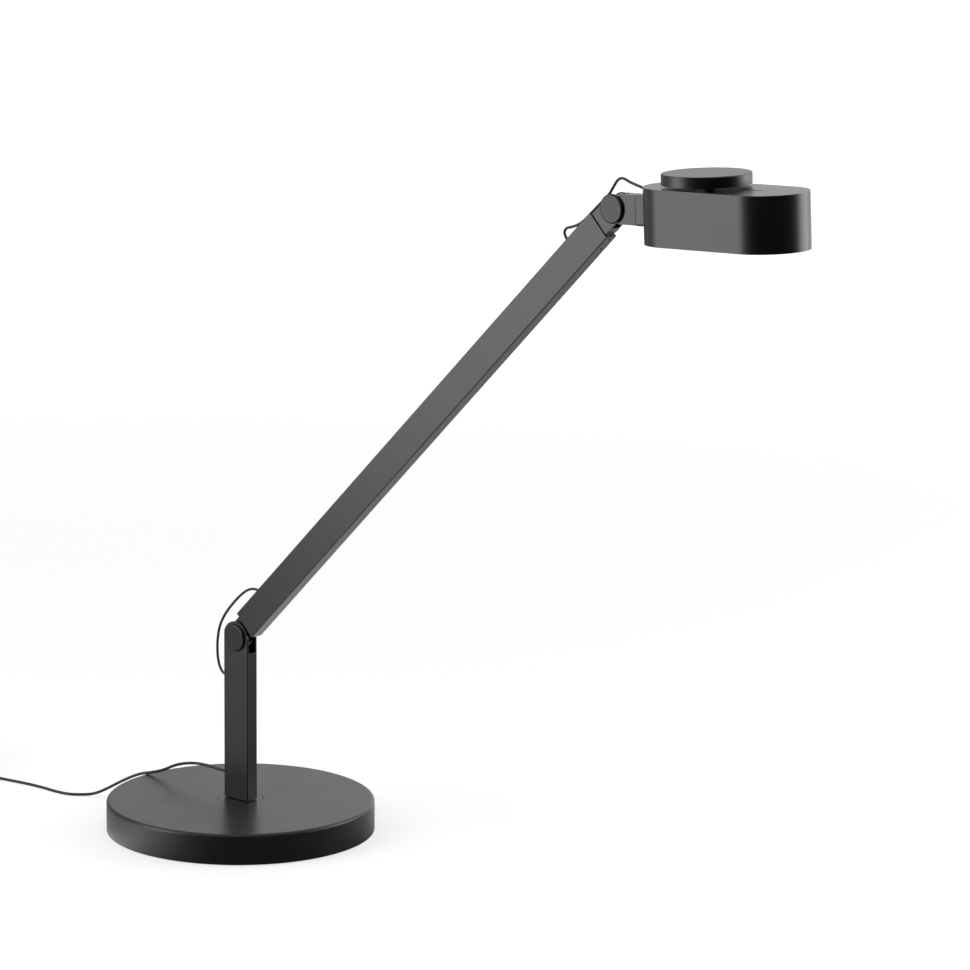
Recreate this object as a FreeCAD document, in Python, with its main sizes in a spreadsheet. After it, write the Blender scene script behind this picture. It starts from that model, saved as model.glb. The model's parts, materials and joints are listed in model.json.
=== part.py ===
"""A desk lamp: a heavy round base, a flat upright post, one long straight arm and an oblong LED head.

The post turns on the base, the arm swings on the post, a short bracket tilts at the arm's end and the
head turns about the bracket. A large round knob on the head dims the light. A thin cable runs from the
base through post and arm and shows as a loop at each hinge.

Millimetres and degrees. +Z is up, +X is the way the arm reaches, and the origin is the middle of the
base's underside. Every size is a cell of the sheet, and each sub-part is bound to those cells.
"""

import FreeCAD, Part
import math
import os
import Sketcher
from FreeCAD import Placement, Rotation, Vector

SIZES = (
    # the round base: a spun steel cover over an iron weight
    ("base_r", 100.0), ("base_top", 23.4), ("base_lip", 0.6), ("base_wall", 1.6), ("base_round", 2.2),
    ("pad_r", 97.9), ("pad_thick", 2.0),
    ("weight_r", 98.2), ("weight_chamfer", 1.8),
    ("boss_ring_r", 70.0), ("boss_r", 5.0), ("boss_bottom", 13.8), ("boss_gap", 0.2),
    ("base_screw_r", 1.95), ("base_screw_top", 18.5), ("base_head_r", 3.8), ("base_head_top", 4.8),
    # the swivel in the middle of the base
    ("disc_r", 17.0), ("disc_bottom", 17.6), ("disc_gap", 0.3), ("recess_r", 17.7), ("recess_floor", 15.6),
    ("bush_r", 9.0), ("bush_flange_r", 14.0), ("stem_r", 6.0), ("stem_fit", 0.05), ("stem_bottom", 3.4),
    ("thread_r", 5.0), ("spigot_r", 3.0), ("spigot_top", 22.4),
    ("nut_bay_r", 21.0), ("nut_bay_top", 12.0), ("wave_r", 11.0), ("wave_thick", 1.6),
    ("nut_corner_r", 9.8), ("nut_bottom", 3.9),
    # the upright post
    ("post_wide", 24.6), ("deep", 10.5), ("wall", 1.6), ("edge_r", 0.8), ("post_bottom", 24.0),
    ("foot_top", 36.0), ("foot_gap", 0.05), ("foot_screw_x", 7.5), ("foot_screw_r", 2.0),
    ("foot_head_r", 3.6), ("foot_head_low", 17.8), ("foot_head_top", 20.0), ("foot_screw_top", 33.0),
    ("low_pivot", 147.3), ("slot_deep", 10.4), ("lead_hole_z", 41.2), ("loop_hole_z", 115.6),
    ("lead_hole_r", 1.3), ("cable_hole_r", 1.2),
    # both friction hinges
    ("cap_r", 10.3), ("cap_thick", 2.1), ("cap_round", 1.5), ("barrel_r", 3.0), ("barrel_gap", 0.02),
    ("tongue_gap", 0.05), ("tongue_thick", 6.2), ("tongue_r", 8.8), ("washer_r", 8.5),
    ("washer_thick", 0.5), ("hinge_thread_r", 2.0), ("hinge_key_r", 2.3), ("hinge_key_deep", 1.6),
    # the arm
    ("arm_angle", 44.61), ("arm_reach", 512.35), ("arm_offset", 1.34), ("arm_high", 22.2),
    ("arm_start", 14.3), ("arm_stop", 494.3), ("arm_edge_r", 0.6), ("tenon_high", 18.9),
    ("tenon_thick", 7.2), ("low_tenon_stop", 38.0), ("high_tenon_long", 24.0),
    ("fork_start", 16.75), ("fork_slot_deep", 11.0), ("low_cable_s", 41.3), ("high_cable_s", 461.5), ("arm_hole_r", 1.65),
    ("arm_screw_a", 481.5), ("arm_screw_b", 491.8), ("arm_screw_r", 1.0), ("arm_screw_long", 6.0),
    # the bracket between arm and head
    ("nose_up", 3.08), ("bracket_half", 10.3), ("bracket_end", 20.3), ("cope_r", 10.9),
    ("cope_x", 4.43), ("shoulder_x", 5.0), ("tongue_root", 12.0), ("swivel_r", 4.0),
    ("swivel_start", 12.2), ("nose_r", 2.2), ("nose_start", 4.9), ("nose_play", 0.3),
    ("grub_x", 7.8), ("grub_r", 2.5), ("grub_low", 2.6), ("grub_top", 7.6), ("grub_tip_r", 1.4),
    ("groove_r", 1.8), ("groove_half", 1.6), ("grub_key_r", 1.5), ("grub_key_deep", 2.5),
    # the neck that carries the head
    ("neck_start", 21.0), ("neck_half_y", 5.6), ("neck_half_z", 10.8), ("neck_round", 2.0),
    ("neck_root", 34.0), ("neck_gap", 0.03), ("neck_pin_r", 3.5), ("neck_pin_stop", 28.0),
    ("neck_screw_z", 6.0), ("neck_screw_r", 1.45), ("neck_screw_start", 26.5), ("neck_head_r", 2.3),
    ("neck_head_x", 33.35), ("neck_head_long", 1.15), ("swivel_washer_r", 4.9),
    # the head
    ("head_x", 96.06), ("head_half", 33.75), ("head_r", 29.75), ("head_top", 18.5),
    ("head_bottom", 20.1), ("head_wall", 2.0), ("roof_thick", 2.5), ("index_wide", 2.0),
    ("index_deep", 0.7), ("index_start", 108.0), ("index_stop", 127.1), ("head_cable_z", 12.8), ("head_hole_r", 1.45),
    ("sink_boss_x", 43.0), ("sink_boss_y", 19.0), ("sink_boss_r", 3.5), ("sink_screw_r", 1.22),
    ("sink_head_r", 2.75), ("sink_head_thick", 2.0), ("sink_screw_long", 10.0),
    ("sink_r", 27.0), ("sink_thick", 4.0), ("fin_long", 66.0), ("fin_high", 5.0), ("fin_thick", 1.2),
    ("fin_pitch", 4.5), ("board_long", 84.0), ("board_wide", 30.0), ("board_thick", 1.6),
    ("chip_long", 2.8), ("chip_wide", 3.5), ("chip_thick", 0.7), ("chip_pitch_x", 7.0),
    ("chip_pitch_y", 9.0), ("tray_r", 26.2), ("tray_wall", 1.3), ("tray_lip_r", 27.45),
    ("tray_lip_thick", 1.5), ("tray_bottom", 15.1), ("diffuser_thick", 3.0),
    ("driver_x", 128.0), ("driver_long", 38.0), ("driver_wide", 30.0), ("driver_thick", 1.6),
    ("driver_z", 9.0), ("driver_boss_r", 2.5), ("driver_boss_x", 15.0), ("driver_boss_y", 11.0),
    ("driver_screw_r", 1.0), ("driver_screw_long", 6.0), ("driver_head_r", 1.9),
    ("driver_head_thick", 1.3),
    # the dimmer under the knob
    ("knob_x", 79.46), ("knob_r", 30.6), ("knob_low", 20.8), ("knob_top", 28.3), ("knob_round", 0.7),
    ("knob_hub_r", 13.0), ("knob_bay_r", 10.0), ("knob_bay_top", 24.4), ("knob_rim", 2.2),
    ("knob_roof", 2.4), ("shaft_r", 3.0), ("shaft_top", 26.6), ("shaft_fit", 0.03),
    ("pot_side", 17.0), ("pot_high", 8.0), ("pot_neck_r", 4.5), ("pot_neck_top", 23.2),
    ("pot_floor", 1.0), ("pot_washer_r", 7.5), ("pot_washer_thick", 0.8), ("pot_nut_r", 6.9),
    ("pot_nut_thick", 2.3),
    # the cables and what is on the supply lead
    ("cable_d", 2.0), ("lead_d", 2.2), ("coil_pitch", 2.7), ("coil_outer_r", 18.7),
    ("adapter_long", 62.0), ("adapter_wide", 38.0), ("adapter_high", 28.0), ("adapter_round", 5.0),
    ("relief_long", 20.0), ("relief_r", 3.4), ("relief_tip_r", 1.8), ("pin_r", 2.0), ("pin_long", 19.0),
    ("pin_apart", 19.0), ("pin_back", 14.0), ("pin_sleeve_r", 2.6), ("pin_sleeve_long", 3.0),
)

COIL_HALF_TURNS_IN = 9
COIL_LAYERS = 4
FINS = 9
CHIPS_LONG = 12
CHIPS_WIDE = 3
SCREWS_ROUND = 3
HEX = 6

doc = FreeCAD.newDocument("DeskLamp")
sheet = doc.addObject("Spreadsheet::Sheet", "Sizes")


class Size:
    """A number of millimetres or degrees, with the sheet expression that it comes from."""

    def __init__(self, value, text):
        self.value = value
        self.text = text

    def __add__(self, other):
        other = as_size(other)
        return Size(self.value + other.value, f"({self.text} + {other.text})")

    def __sub__(self, other):
        other = as_size(other)
        return Size(self.value - other.value, f"({self.text} - {other.text})")

    def __mul__(self, other):
        other = as_size(other)
        return Size(self.value * other.value, f"({self.text} * {other.text})")

    def __truediv__(self, other):
        other = as_size(other)
        return Size(self.value / other.value, f"({self.text} / {other.text})")

    def __neg__(self):
        return Size(-self.value, f"(0 - {self.text})")

    def __radd__(self, other):
        return as_size(other) + self

    def __rsub__(self, other):
        return as_size(other) - self

    def __rmul__(self, other):
        return as_size(other) * self


def as_size(number):
    if isinstance(number, Size):
        return number
    return Size(float(number), f"{float(number)}" if number >= 0 else f"(0 - {-float(number)})")


def cosine(angle):
    return Size(math.cos(math.radians(angle.value)), f"cos({angle.text})")


def sine(angle):
    return Size(math.sin(math.radians(angle.value)), f"sin({angle.text})")


def root(size):
    return Size(math.sqrt(size.value), f"sqrt({size.text})")


class Sheet:
    """The sheet's cells by name, so that d.base_r is the base's radius."""

    def __init__(self, rows):
        for number, (name, value) in enumerate(rows, start=1):
            sheet.set(f"A{number}", name)
            sheet.set(f"B{number}", str(value))
            sheet.setAlias(f"B{number}", name)
            setattr(self, name, Size(value, f"Sizes.{name}"))


d = Sheet(SIZES)
doc.recompute()


# ---------------------------------------------------------------- places

class Frame:
    """Where a sub-part's own axes stand: an origin in the XZ plane and a turn that lifts +X."""

    def __init__(self, x, z, lift=0.0):
        self.x = as_size(x)
        self.z = as_size(z)
        self.lift = as_size(lift)

    def put(self, part):
        part.Placement = Placement(Vector(0, 0, 0), Rotation(Vector(0, -1, 0), 1))
        part.setExpression("Placement.Base.x", self.x.text)
        part.setExpression("Placement.Base.z", self.z.text)
        part.setExpression("Placement.Rotation.Angle", self.lift.text)


high_pivot_x = d.arm_reach * cosine(d.arm_angle) - d.arm_offset * sine(d.arm_angle)
high_pivot_z = d.low_pivot + d.arm_reach * sine(d.arm_angle) + d.arm_offset * cosine(d.arm_angle)

ON_FLOOR = Frame(0, 0)
LOW_HINGE = Frame(0, d.low_pivot)
ARM = Frame(0, d.low_pivot, d.arm_angle)
FORK = Frame(high_pivot_x, high_pivot_z, d.arm_angle)
HEAD = Frame(high_pivot_x, high_pivot_z, d.nose_up)
KNOB = Frame(high_pivot_x + d.knob_x * cosine(d.nose_up), high_pivot_z + d.knob_x * sine(d.nose_up),
             d.nose_up)

TURNED = {"X": Rotation(Vector(0, 1, 0), 90), "Y": Rotation(Vector(1, 0, 0), -90), "Z": Rotation()}
parts = {}


# ---------------------------------------------------------------- tools for building

def bind(obj, prop, size):
    obj.setExpression(prop, as_size(size).text)


def bind_place(obj, at, turn):
    obj.Placement = Placement(Vector(*[as_size(value).value for value in at]), turn)
    for axis, value in zip("xyz", at):
        bind(obj, f"Placement.Base.{axis}", value)


class Piece:
    """One solid sub-part: a body whose features are bound to the sheet."""

    def __init__(self, name, frame=ON_FLOOR):
        self.name = name
        self.body = doc.addObject("PartDesign::Body", name)
        self.body.Label = name
        frame.put(self.body)
        parts[name] = self.body
        self.count = 0

    def feature(self, kind):
        self.count += 1
        return self.body.newObject(kind, f"{self.name}_{self.count}")

    def sketch(self, plane, path, lifted=0.0):
        """A closed outline of lines and arcs; a corner may end with (radius, turn) for the arc after it."""
        sketch = self.feature("Sketcher::SketchObject")
        origin = [f for f in self.body.Origin.OriginFeatures if f.Role == plane + "_Plane"][0]
        sketch.AttachmentSupport = [(origin, "")]
        sketch.MapMode = "FlatFace"
        bind(sketch, "AttachmentOffset.Base.z", lifted)
        corners = [(as_size(corner[0]), as_size(corner[1]), corner[2:]) for corner in path]
        ends = []
        for number, (x, y, bend) in enumerate(corners):
            after = corners[(number + 1) % len(corners)]
            start = Vector(x.value, y.value, 0)
            stop = Vector(after[0].value, after[1].value, 0)
            if bend:
                radius, turn = bend
                radius = as_size(radius)
                sketch.addGeometry(arc_between(start, stop, radius.value, turn))
                ends.append((1, 2) if turn == "left" else (2, 1))
                row = sketch.addConstraint(Sketcher.Constraint("Radius", number, radius.value))
                bind(sketch, f"Constraints[{row}]", radius)
            else:
                sketch.addGeometry(Part.LineSegment(start, stop))
                ends.append((1, 2))
        for number, (x, y, _) in enumerate(corners):
            before = (number - 1) % len(corners)
            here = ends[number][0]
            sketch.addConstraint(Sketcher.Constraint("Coincident", before, ends[before][1], number, here))
            for kind, size in (("DistanceX", x), ("DistanceY", y)):
                row = sketch.addConstraint(Sketcher.Constraint(kind, -1, 1, number, here, size.value))
                if size.text not in ("0.0", "(0 - 0.0)"):
                    bind(sketch, f"Constraints[{row}]", size)
        return sketch

    def pad(self, plane, path, length, lifted=0.0, both_ways=False):
        sketch = self.sketch(plane, path, lifted)
        pad = self.feature("PartDesign::Pad")
        pad.Profile = sketch
        pad.Midplane = both_ways
        bind(pad, "Length", length)
        return self

    def pocket(self, plane, path, length, lifted=0.0, both_ways=False, upward=False):
        sketch = self.sketch(plane, path, lifted)
        doc.recompute()
        pocket = self.feature("PartDesign::Pocket")
        pocket.Profile = sketch
        pocket.Midplane = both_ways
        pocket.Reversed = upward
        bind(pocket, "Length", length)
        return self

    def turn(self, path, plane="XZ"):
        """A solid of revolution about the upright axis of the outline's plane."""
        sketch = self.sketch(plane, path)
        turned = self.feature("PartDesign::Revolution")
        turned.Profile = sketch
        turned.ReferenceAxis = (sketch, ["V_Axis"])
        turned.Angle = 360.0
        return self

    def rod(self, radius, length, at, along="Z", cut=False):
        rod = self.feature("PartDesign::SubtractiveCylinder" if cut else "PartDesign::AdditiveCylinder")
        bind(rod, "Radius", radius)
        bind(rod, "Height", length)
        bind_place(rod, at, TURNED[along])
        return self

    def drill(self, radius, length, at, along="Z"):
        return self.rod(radius, length, at, along, cut=True)

    def block(self, size, at, cut=False):
        block = self.feature("PartDesign::SubtractiveBox" if cut else "PartDesign::AdditiveBox")
        for prop, value in zip(("Length", "Width", "Height"), size):
            bind(block, prop, value)
        bind_place(block, at, Rotation())
        return self

    def mill(self, size, at):
        return self.block(size, at, cut=True)

    def key(self, radius, length, at, along="Z"):
        """A hexagon socket."""
        prism = self.feature("PartDesign::SubtractivePrism")
        prism.Polygon = HEX
        bind(prism, "Circumradius", radius)
        bind(prism, "Height", length)
        bind_place(prism, at, TURNED[along])
        return self


def arc_between(start, stop, radius, turn):
    """The arc of under half a circle from start to stop that turns left or right."""
    chord = stop - start
    middle = (start + stop) / 2
    left = Vector(-chord.y, chord.x, 0)
    left.normalize()
    rise = math.sqrt(max(radius ** 2 - (chord.Length / 2) ** 2, 0.0))
    centre = middle + left * (rise if turn == "left" else -rise)
    first, last = (start, stop) if turn == "left" else (stop, start)
    angles = [math.atan2(p.y - centre.y, p.x - centre.x) for p in (first, last)]
    return Part.ArcOfCircle(Part.Circle(centre, Vector(0, 0, 1), radius), angles[0], angles[1])


def loose_rod(radius, length, at, along="Z"):
    rod = doc.addObject("Part::Cylinder", "Rod")
    bind(rod, "Radius", radius)
    bind(rod, "Height", length)
    bind_place(rod, at, TURNED[along])
    return rod


def loose_block(size, at):
    block = doc.addObject("Part::Box", "Block")
    for prop, value in zip(("Length", "Width", "Height"), size):
        bind(block, prop, value)
    bind_place(block, at, Rotation())
    return block


def less(base, *tools):
    for tool in tools:
        cut = doc.addObject("Part::Cut", "Less")
        cut.Base = base
        cut.Tool = tool
        base = cut
    return base


def joined(*pieces):
    fuse = doc.addObject("Part::MultiFuse", "Joined")
    fuse.Shapes = list(pieces)
    return fuse


def ring(outer, inner, length, at, along="Z"):
    return less(loose_rod(outer, length, at, along), loose_rod(inner, length, at, along))


def keep(name, part, frame=ON_FLOOR):
    """Name a part that primitives and booleans make, and put it in its frame."""
    part.Label = name
    frame.put(part)
    parts[name] = part


def group(name, pieces, frame=ON_FLOOR):
    """Like pieces that share a name, each a solid of its own."""
    compound = doc.addObject("Part::Compound", name)
    compound.Links = list(pieces)
    keep(name, compound, frame)


def rounded(half_x, half_y, corner, middle_y=0.0):
    """A rectangle with rounded corners about (0, middle_y)."""
    left, right = -half_x, half_x
    low, high = middle_y - half_y, middle_y + half_y
    return (
        (left + corner, low), (right - corner, low, corner, "left"),
        (right, low + corner), (right, high - corner, corner, "left"),
        (right - corner, high), (left + corner, high, corner, "left"),
        (left, high - corner), (left, low + corner, corner, "left"),
    )


def stadium(radius):
    """The head's outline: a long slot with half-round ends."""
    back, front = d.head_x - d.head_half, d.head_x + d.head_half
    return (
        (back, -radius), (front, -radius, radius, "left"),
        (front + radius, 0, radius, "left"), (front, radius),
        (back, radius, radius, "left"), (back - radius, 0, radius, "left"),
    )


def tongue_path(length, middle=0.0):
    """A plate that runs along +X from a half-round end about (0, middle)."""
    return (
        (0, middle - d.tongue_r), (length, middle - d.tongue_r), (length, middle + d.tongue_r),
        (0, middle + d.tongue_r, d.tongue_r, "left"), (-d.tongue_r, middle, d.tongue_r, "left"),
    )


cheek = d.deep / 2 - d.wall
half_deep = d.deep / 2


# ---------------------------------------------------------------- base

def base_cover():
    """The spun steel shell: flat top, rolled rim, open below, with three welded bosses inside."""
    inner_round = d.base_round - d.base_wall
    inner_r = d.base_r - d.base_wall
    under = d.base_top - d.base_wall
    hole = d.disc_r + d.disc_gap
    cover = Piece("base_cover")
    cover.turn((
        (hole, under), (inner_r - inner_round, under, inner_round, "right"),
        (inner_r, under - inner_round), (inner_r, d.base_lip), (d.base_r, d.base_lip),
        (d.base_r, d.base_top - d.base_round, d.base_round, "left"),
        (d.base_r - d.base_round, d.base_top), (hole, d.base_top),
    ))
    for x, y in around(d.boss_ring_r, SCREWS_ROUND):
        cover.rod(d.boss_r, under + 0.4 - d.boss_bottom, (x, y, d.boss_bottom))
    for x, y in around(d.boss_ring_r, SCREWS_ROUND):
        cover.drill(d.base_screw_r + 0.05, d.base_screw_top - d.boss_bottom + 0.5, (x, y, d.boss_bottom))


def around(radius, count):
    """Places evenly round the upright axis, the first straight ahead."""
    for number in range(count):
        angle = as_size(360.0 * number / count)
        yield radius * cosine(angle), radius * sine(angle)


def base_weight():
    """The cast iron disc that keeps the lamp standing, bored for the swivel and the cover's bosses."""
    top = d.base_top - d.base_wall
    weight = Piece("base_weight")
    weight.turn((
        (d.nut_bay_r, d.pad_thick), (d.weight_r, d.pad_thick), (d.weight_r, top - d.weight_chamfer),
        (d.weight_r - d.weight_chamfer, top), (d.recess_r, top), (d.recess_r, d.recess_floor),
        (d.bush_r, d.recess_floor), (d.bush_r, d.nut_bay_top), (d.nut_bay_r, d.nut_bay_top),
    ))
    for x, y in around(d.boss_ring_r, SCREWS_ROUND):
        pocket_floor = d.boss_bottom - d.boss_gap
        weight.drill(d.boss_r + d.boss_gap, top - pocket_floor, (x, y, pocket_floor))
        weight.drill(d.base_screw_r + 0.3, top, (x, y, d.pad_thick))
        weight.drill(d.base_head_r + 0.4, d.base_head_top - d.pad_thick, (x, y, d.pad_thick))


def base_pad():
    Piece("base_pad").rod(d.pad_r, d.pad_thick, (0, 0, 0))


def base_screws():
    screws = []
    for x, y in around(d.boss_ring_r, SCREWS_ROUND):
        head_low = d.pad_thick + 0.2
        head = loose_rod(d.base_head_r, d.base_head_top - head_low, (x, y, head_low))
        shank = loose_rod(d.base_screw_r, d.base_screw_top - head_low, (x, y, head_low))
        screws.append(joined(head, shank))
    group("base_screws", screws)


def swivel_bush():
    bore = d.stem_r + d.stem_fit
    Piece("swivel_bush").turn((
        (bore, d.nut_bay_top), (d.bush_r, d.nut_bay_top), (d.bush_r, d.recess_floor),
        (d.bush_flange_r, d.recess_floor), (d.bush_flange_r, d.disc_bottom), (bore, d.disc_bottom),
    ))


# ---------------------------------------------------------------- post

def swivel_disc():
    """The disc that lies flush in the base's top and turns with the post."""
    disc = Piece("swivel_disc").rod(d.disc_r, d.base_top - d.disc_bottom, (0, 0, d.disc_bottom))
    disc.drill(d.spigot_r, d.spigot_top - d.disc_bottom, (0, 0, d.disc_bottom))
    for side in (-1, 1):
        at = (side * d.foot_screw_x, 0, d.disc_bottom)
        disc.drill(d.foot_head_r + 0.1, d.foot_head_top - d.disc_bottom, at)
        disc.drill(d.foot_screw_r, d.base_top - d.disc_bottom, at)


def swivel_stem():
    Piece("swivel_stem").turn((
        (0, d.stem_bottom), (d.thread_r, d.stem_bottom), (d.thread_r, d.nut_bay_top),
        (d.stem_r, d.nut_bay_top), (d.stem_r, d.disc_bottom), (d.spigot_r - 0.05, d.disc_bottom),
        (d.spigot_r - 0.05, d.spigot_top - 0.2), (0, d.spigot_top - 0.2),
    ))


def swivel_washer():
    low = d.nut_bay_top - d.wave_thick
    keep("swivel_washer", ring(d.wave_r, d.thread_r + 0.1, d.wave_thick, (0, 0, low)))


def swivel_nut():
    prism = doc.addObject("Part::Prism", "NutBlank")
    prism.Polygon = HEX
    bind(prism, "Circumradius", d.nut_corner_r)
    high = d.nut_bay_top - d.wave_thick
    bind(prism, "Height", high - d.nut_bottom)
    bind_place(prism, (0, 0, d.nut_bottom), Rotation())
    keep("swivel_nut", less(prism, loose_rod(d.thread_r + 0.02, high, (0, 0, d.nut_bottom))))


def post_foot():
    """The solid plug in the post's lower end, which stands on the disc and lifts the post clear of it."""
    half_x = d.post_wide / 2 - d.wall - d.foot_gap
    half_y = cheek - d.foot_gap
    foot = Piece("post_foot")
    foot.block((2 * half_x, 2 * half_y, d.foot_top - d.base_top), (-half_x, -half_y, d.base_top))
    for side in (-1, 1):
        foot.drill(d.foot_screw_r, d.foot_screw_top + 1 - d.base_top, (side * d.foot_screw_x, 0, d.base_top))


def foot_screws():
    screws = []
    for side in (-1, 1):
        x = side * d.foot_screw_x
        head = loose_rod(d.foot_head_r, d.foot_head_top - d.foot_head_low, (x, 0, d.foot_head_low))
        shank_long = d.foot_screw_top - d.foot_head_low
        shank = loose_rod(d.foot_screw_r - 0.05, shank_long, (x, 0, d.foot_head_low))
        screws.append(joined(head, shank))
    group("foot_screws", screws)


def post_tube():
    """The flat upright tube, open below, whose top is a fork: slotted front and back, round cheeks."""
    half_x = d.post_wide / 2
    top = d.low_pivot + half_x
    beyond = half_x + 3
    tube = Piece("post_tube")
    tube.pad("XY", rounded(half_x, half_deep, d.edge_r), top - d.post_bottom, lifted=d.post_bottom)
    inner_x = half_x - d.wall
    tube.mill((2 * inner_x, 2 * cheek, top), (-inner_x, -cheek, d.post_bottom - 1))
    tube.pocket("XZ", (
        (-half_x, d.low_pivot, half_x, "right"), (0, top, half_x, "right"), (half_x, d.low_pivot),
        (beyond, d.low_pivot), (beyond, top + 3), (-beyond, top + 3), (-beyond, d.low_pivot),
    ), 2 * d.deep, both_ways=True)
    slot_floor = d.low_pivot - d.slot_deep
    tube.mill((2 * beyond, 2 * cheek, top), (-beyond, -cheek, slot_floor))
    tube.drill(d.barrel_r + d.barrel_gap, 2 * d.deep, (0, -d.deep, d.low_pivot), "Y")
    tube.drill(d.lead_hole_r, 2 * d.wall, (-half_x - 1, 0, d.lead_hole_z), "X")
    tube.drill(d.cable_hole_r, 2 * d.wall, (-half_x - 1, 0, d.loop_hole_z), "X")


# ---------------------------------------------------------------- hinges

def hinge(cap_name, screw_name, washers_name, frame):
    """A friction hinge: a capped barrel from the near side, a capped screw from the far side, and a
    washer inside each cheek that grips the tongue."""
    face = half_deep + d.cap_thick
    far_end = half_deep - 0.3
    depth = -2.0
    Piece(cap_name, frame).turn((
        (0, -face), (d.cap_r - d.cap_round, -face, d.cap_round, "left"), (d.cap_r, d.cap_round - face),
        (d.cap_r, -half_deep), (d.barrel_r, -half_deep), (d.barrel_r, far_end),
        (d.hinge_thread_r, far_end), (d.hinge_thread_r, depth), (0, depth),
    ), plane="XY")
    screw = Piece(screw_name, frame).turn((
        (0, depth + 0.5), (d.hinge_thread_r - 0.05, depth + 0.5), (d.hinge_thread_r - 0.05, half_deep),
        (d.cap_r, half_deep), (d.cap_r, face - d.cap_round, d.cap_round, "left"),
        (d.cap_r - d.cap_round, face), (0, face),
    ), plane="XY")
    screw.key(d.hinge_key_r, d.hinge_key_deep + 1, (0, face - d.hinge_key_deep, 0), "Y")
    washers = []
    for low in (-cheek, cheek - d.washer_thick):
        washers.append(ring(d.washer_r, d.barrel_r + 0.1, d.washer_thick, (0, low, 0), "Y"))
    group(washers_name, washers, frame)


# ---------------------------------------------------------------- arm

def lower_tongue():
    """The plate between the post's cheeks, with a tenon pressed into the arm."""
    tongue = Piece("lower_tongue", ARM)
    tongue.pad("XZ", tongue_path(d.arm_start + 1, d.arm_offset), d.tongue_thick, both_ways=True)
    tongue.block((d.low_tenon_stop - d.arm_start, d.tenon_thick, d.tenon_high),
                 (d.arm_start, -d.tenon_thick / 2, d.arm_offset - d.tenon_high / 2))
    tongue.drill(d.barrel_r + d.tongue_gap, 2 * d.deep, (0, -d.deep, 0), "Y")


def arm_tube():
    """The long flat tube, with a cable hole near each end of its top and two screw holes below."""
    half_z = d.arm_high / 2
    arm = Piece("arm_tube", ARM)
    outline = rounded(half_deep, half_z, d.arm_edge_r, d.arm_offset)
    arm.pad("YZ", outline, d.arm_stop - d.arm_start, lifted=d.arm_start)
    inner_z = half_z - d.wall
    arm.mill((d.arm_stop, 2 * cheek, 2 * inner_z), (0, -cheek, d.arm_offset - inner_z))
    roof = d.arm_offset + inner_z - 1
    for along in (d.low_cable_s, d.high_cable_s):
        arm.drill(d.arm_hole_r, d.wall + 2, (along, 0, roof))
    for along in (d.arm_screw_a, d.arm_screw_b):
        arm.drill(d.arm_screw_r + 0.1, d.wall + 2, (along, 0, d.arm_offset - half_z - 1))


def upper_fork():
    """The block at the arm's end: a tenon in the tube and two cheeks either side of a slot."""
    fork = Piece("upper_fork", FORK)
    r = d.tongue_r
    fork.pad("XZ", (
        (-d.fork_start, -r), (0, -r, r, "left"), (r, 0, r, "left"), (0, r), (-d.fork_start, r),
    ), d.deep, both_ways=True)
    fork.block((d.high_tenon_long, d.tenon_thick, d.tenon_high),
               (-d.fork_start - d.high_tenon_long, -d.tenon_thick / 2, -d.tenon_high / 2))
    fork.mill((2 * d.fork_slot_deep, 2 * cheek, 4 * r), (-d.fork_slot_deep, -cheek, -2 * r))
    fork.drill(d.barrel_r + d.barrel_gap, 2 * d.deep, (0, -d.deep, 0), "Y")
    for along in (d.arm_screw_a, d.arm_screw_b):
        at = (along - d.arm_reach, 0, -d.arm_high / 2)
        fork.drill(d.arm_screw_r, d.arm_screw_long + 1, at)


def arm_screws():
    screws = []
    for along in (d.arm_screw_a, d.arm_screw_b):
        at = (along - d.arm_reach, 0, 0.3 - d.arm_high / 2)
        screws.append(loose_rod(d.arm_screw_r - 0.05, d.arm_screw_long, at))
    group("arm_screws", screws, FORK)


# ---------------------------------------------------------------- bracket

def bracket():
    """The short bracket: a tongue in the fork, shoulders that follow the caps, a bore for the swivel."""
    half = d.bracket_half
    cope_z = root(d.cope_r * d.cope_r - d.cope_x * d.cope_x)
    piece = Piece("bracket", HEAD)
    piece.pad("XZ", (
        (d.shoulder_x, -half), (d.bracket_end, -half), (d.bracket_end, half), (d.shoulder_x, half),
        (d.cope_x, cope_z, d.cope_r, "right"), (d.cope_x, -cope_z),
    ), d.deep, both_ways=True)
    piece.pad("XZ", tongue_path(d.tongue_root), d.tongue_thick, both_ways=True)
    piece.drill(d.barrel_r + d.tongue_gap, 2 * d.deep, (0, -d.deep, 0), "Y")
    piece.drill(d.swivel_r + 0.05, d.bracket_end, (d.swivel_start, 0, 0), "X")
    piece.drill(d.nose_r + 0.05, d.bracket_end, (d.nose_start, 0, 0), "X")
    piece.drill(d.grub_r, half, (d.grub_x, 0, 0.1))


def bracket_grub():
    """The grub screw whose tip runs in the swivel pin's groove."""
    grub = Piece("bracket_grub", HEAD)
    grub.rod(d.grub_r - 0.05, d.grub_top - d.grub_low, (d.grub_x, 0, d.grub_low))
    grub.rod(d.grub_tip_r, d.grub_low + 0.1 - d.groove_r, (d.grub_x, 0, d.groove_r + 0.05))
    grub.key(d.grub_key_r, d.grub_key_deep + 1, (d.grub_x, 0, d.grub_top - d.grub_key_deep))


# ---------------------------------------------------------------- head

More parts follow.
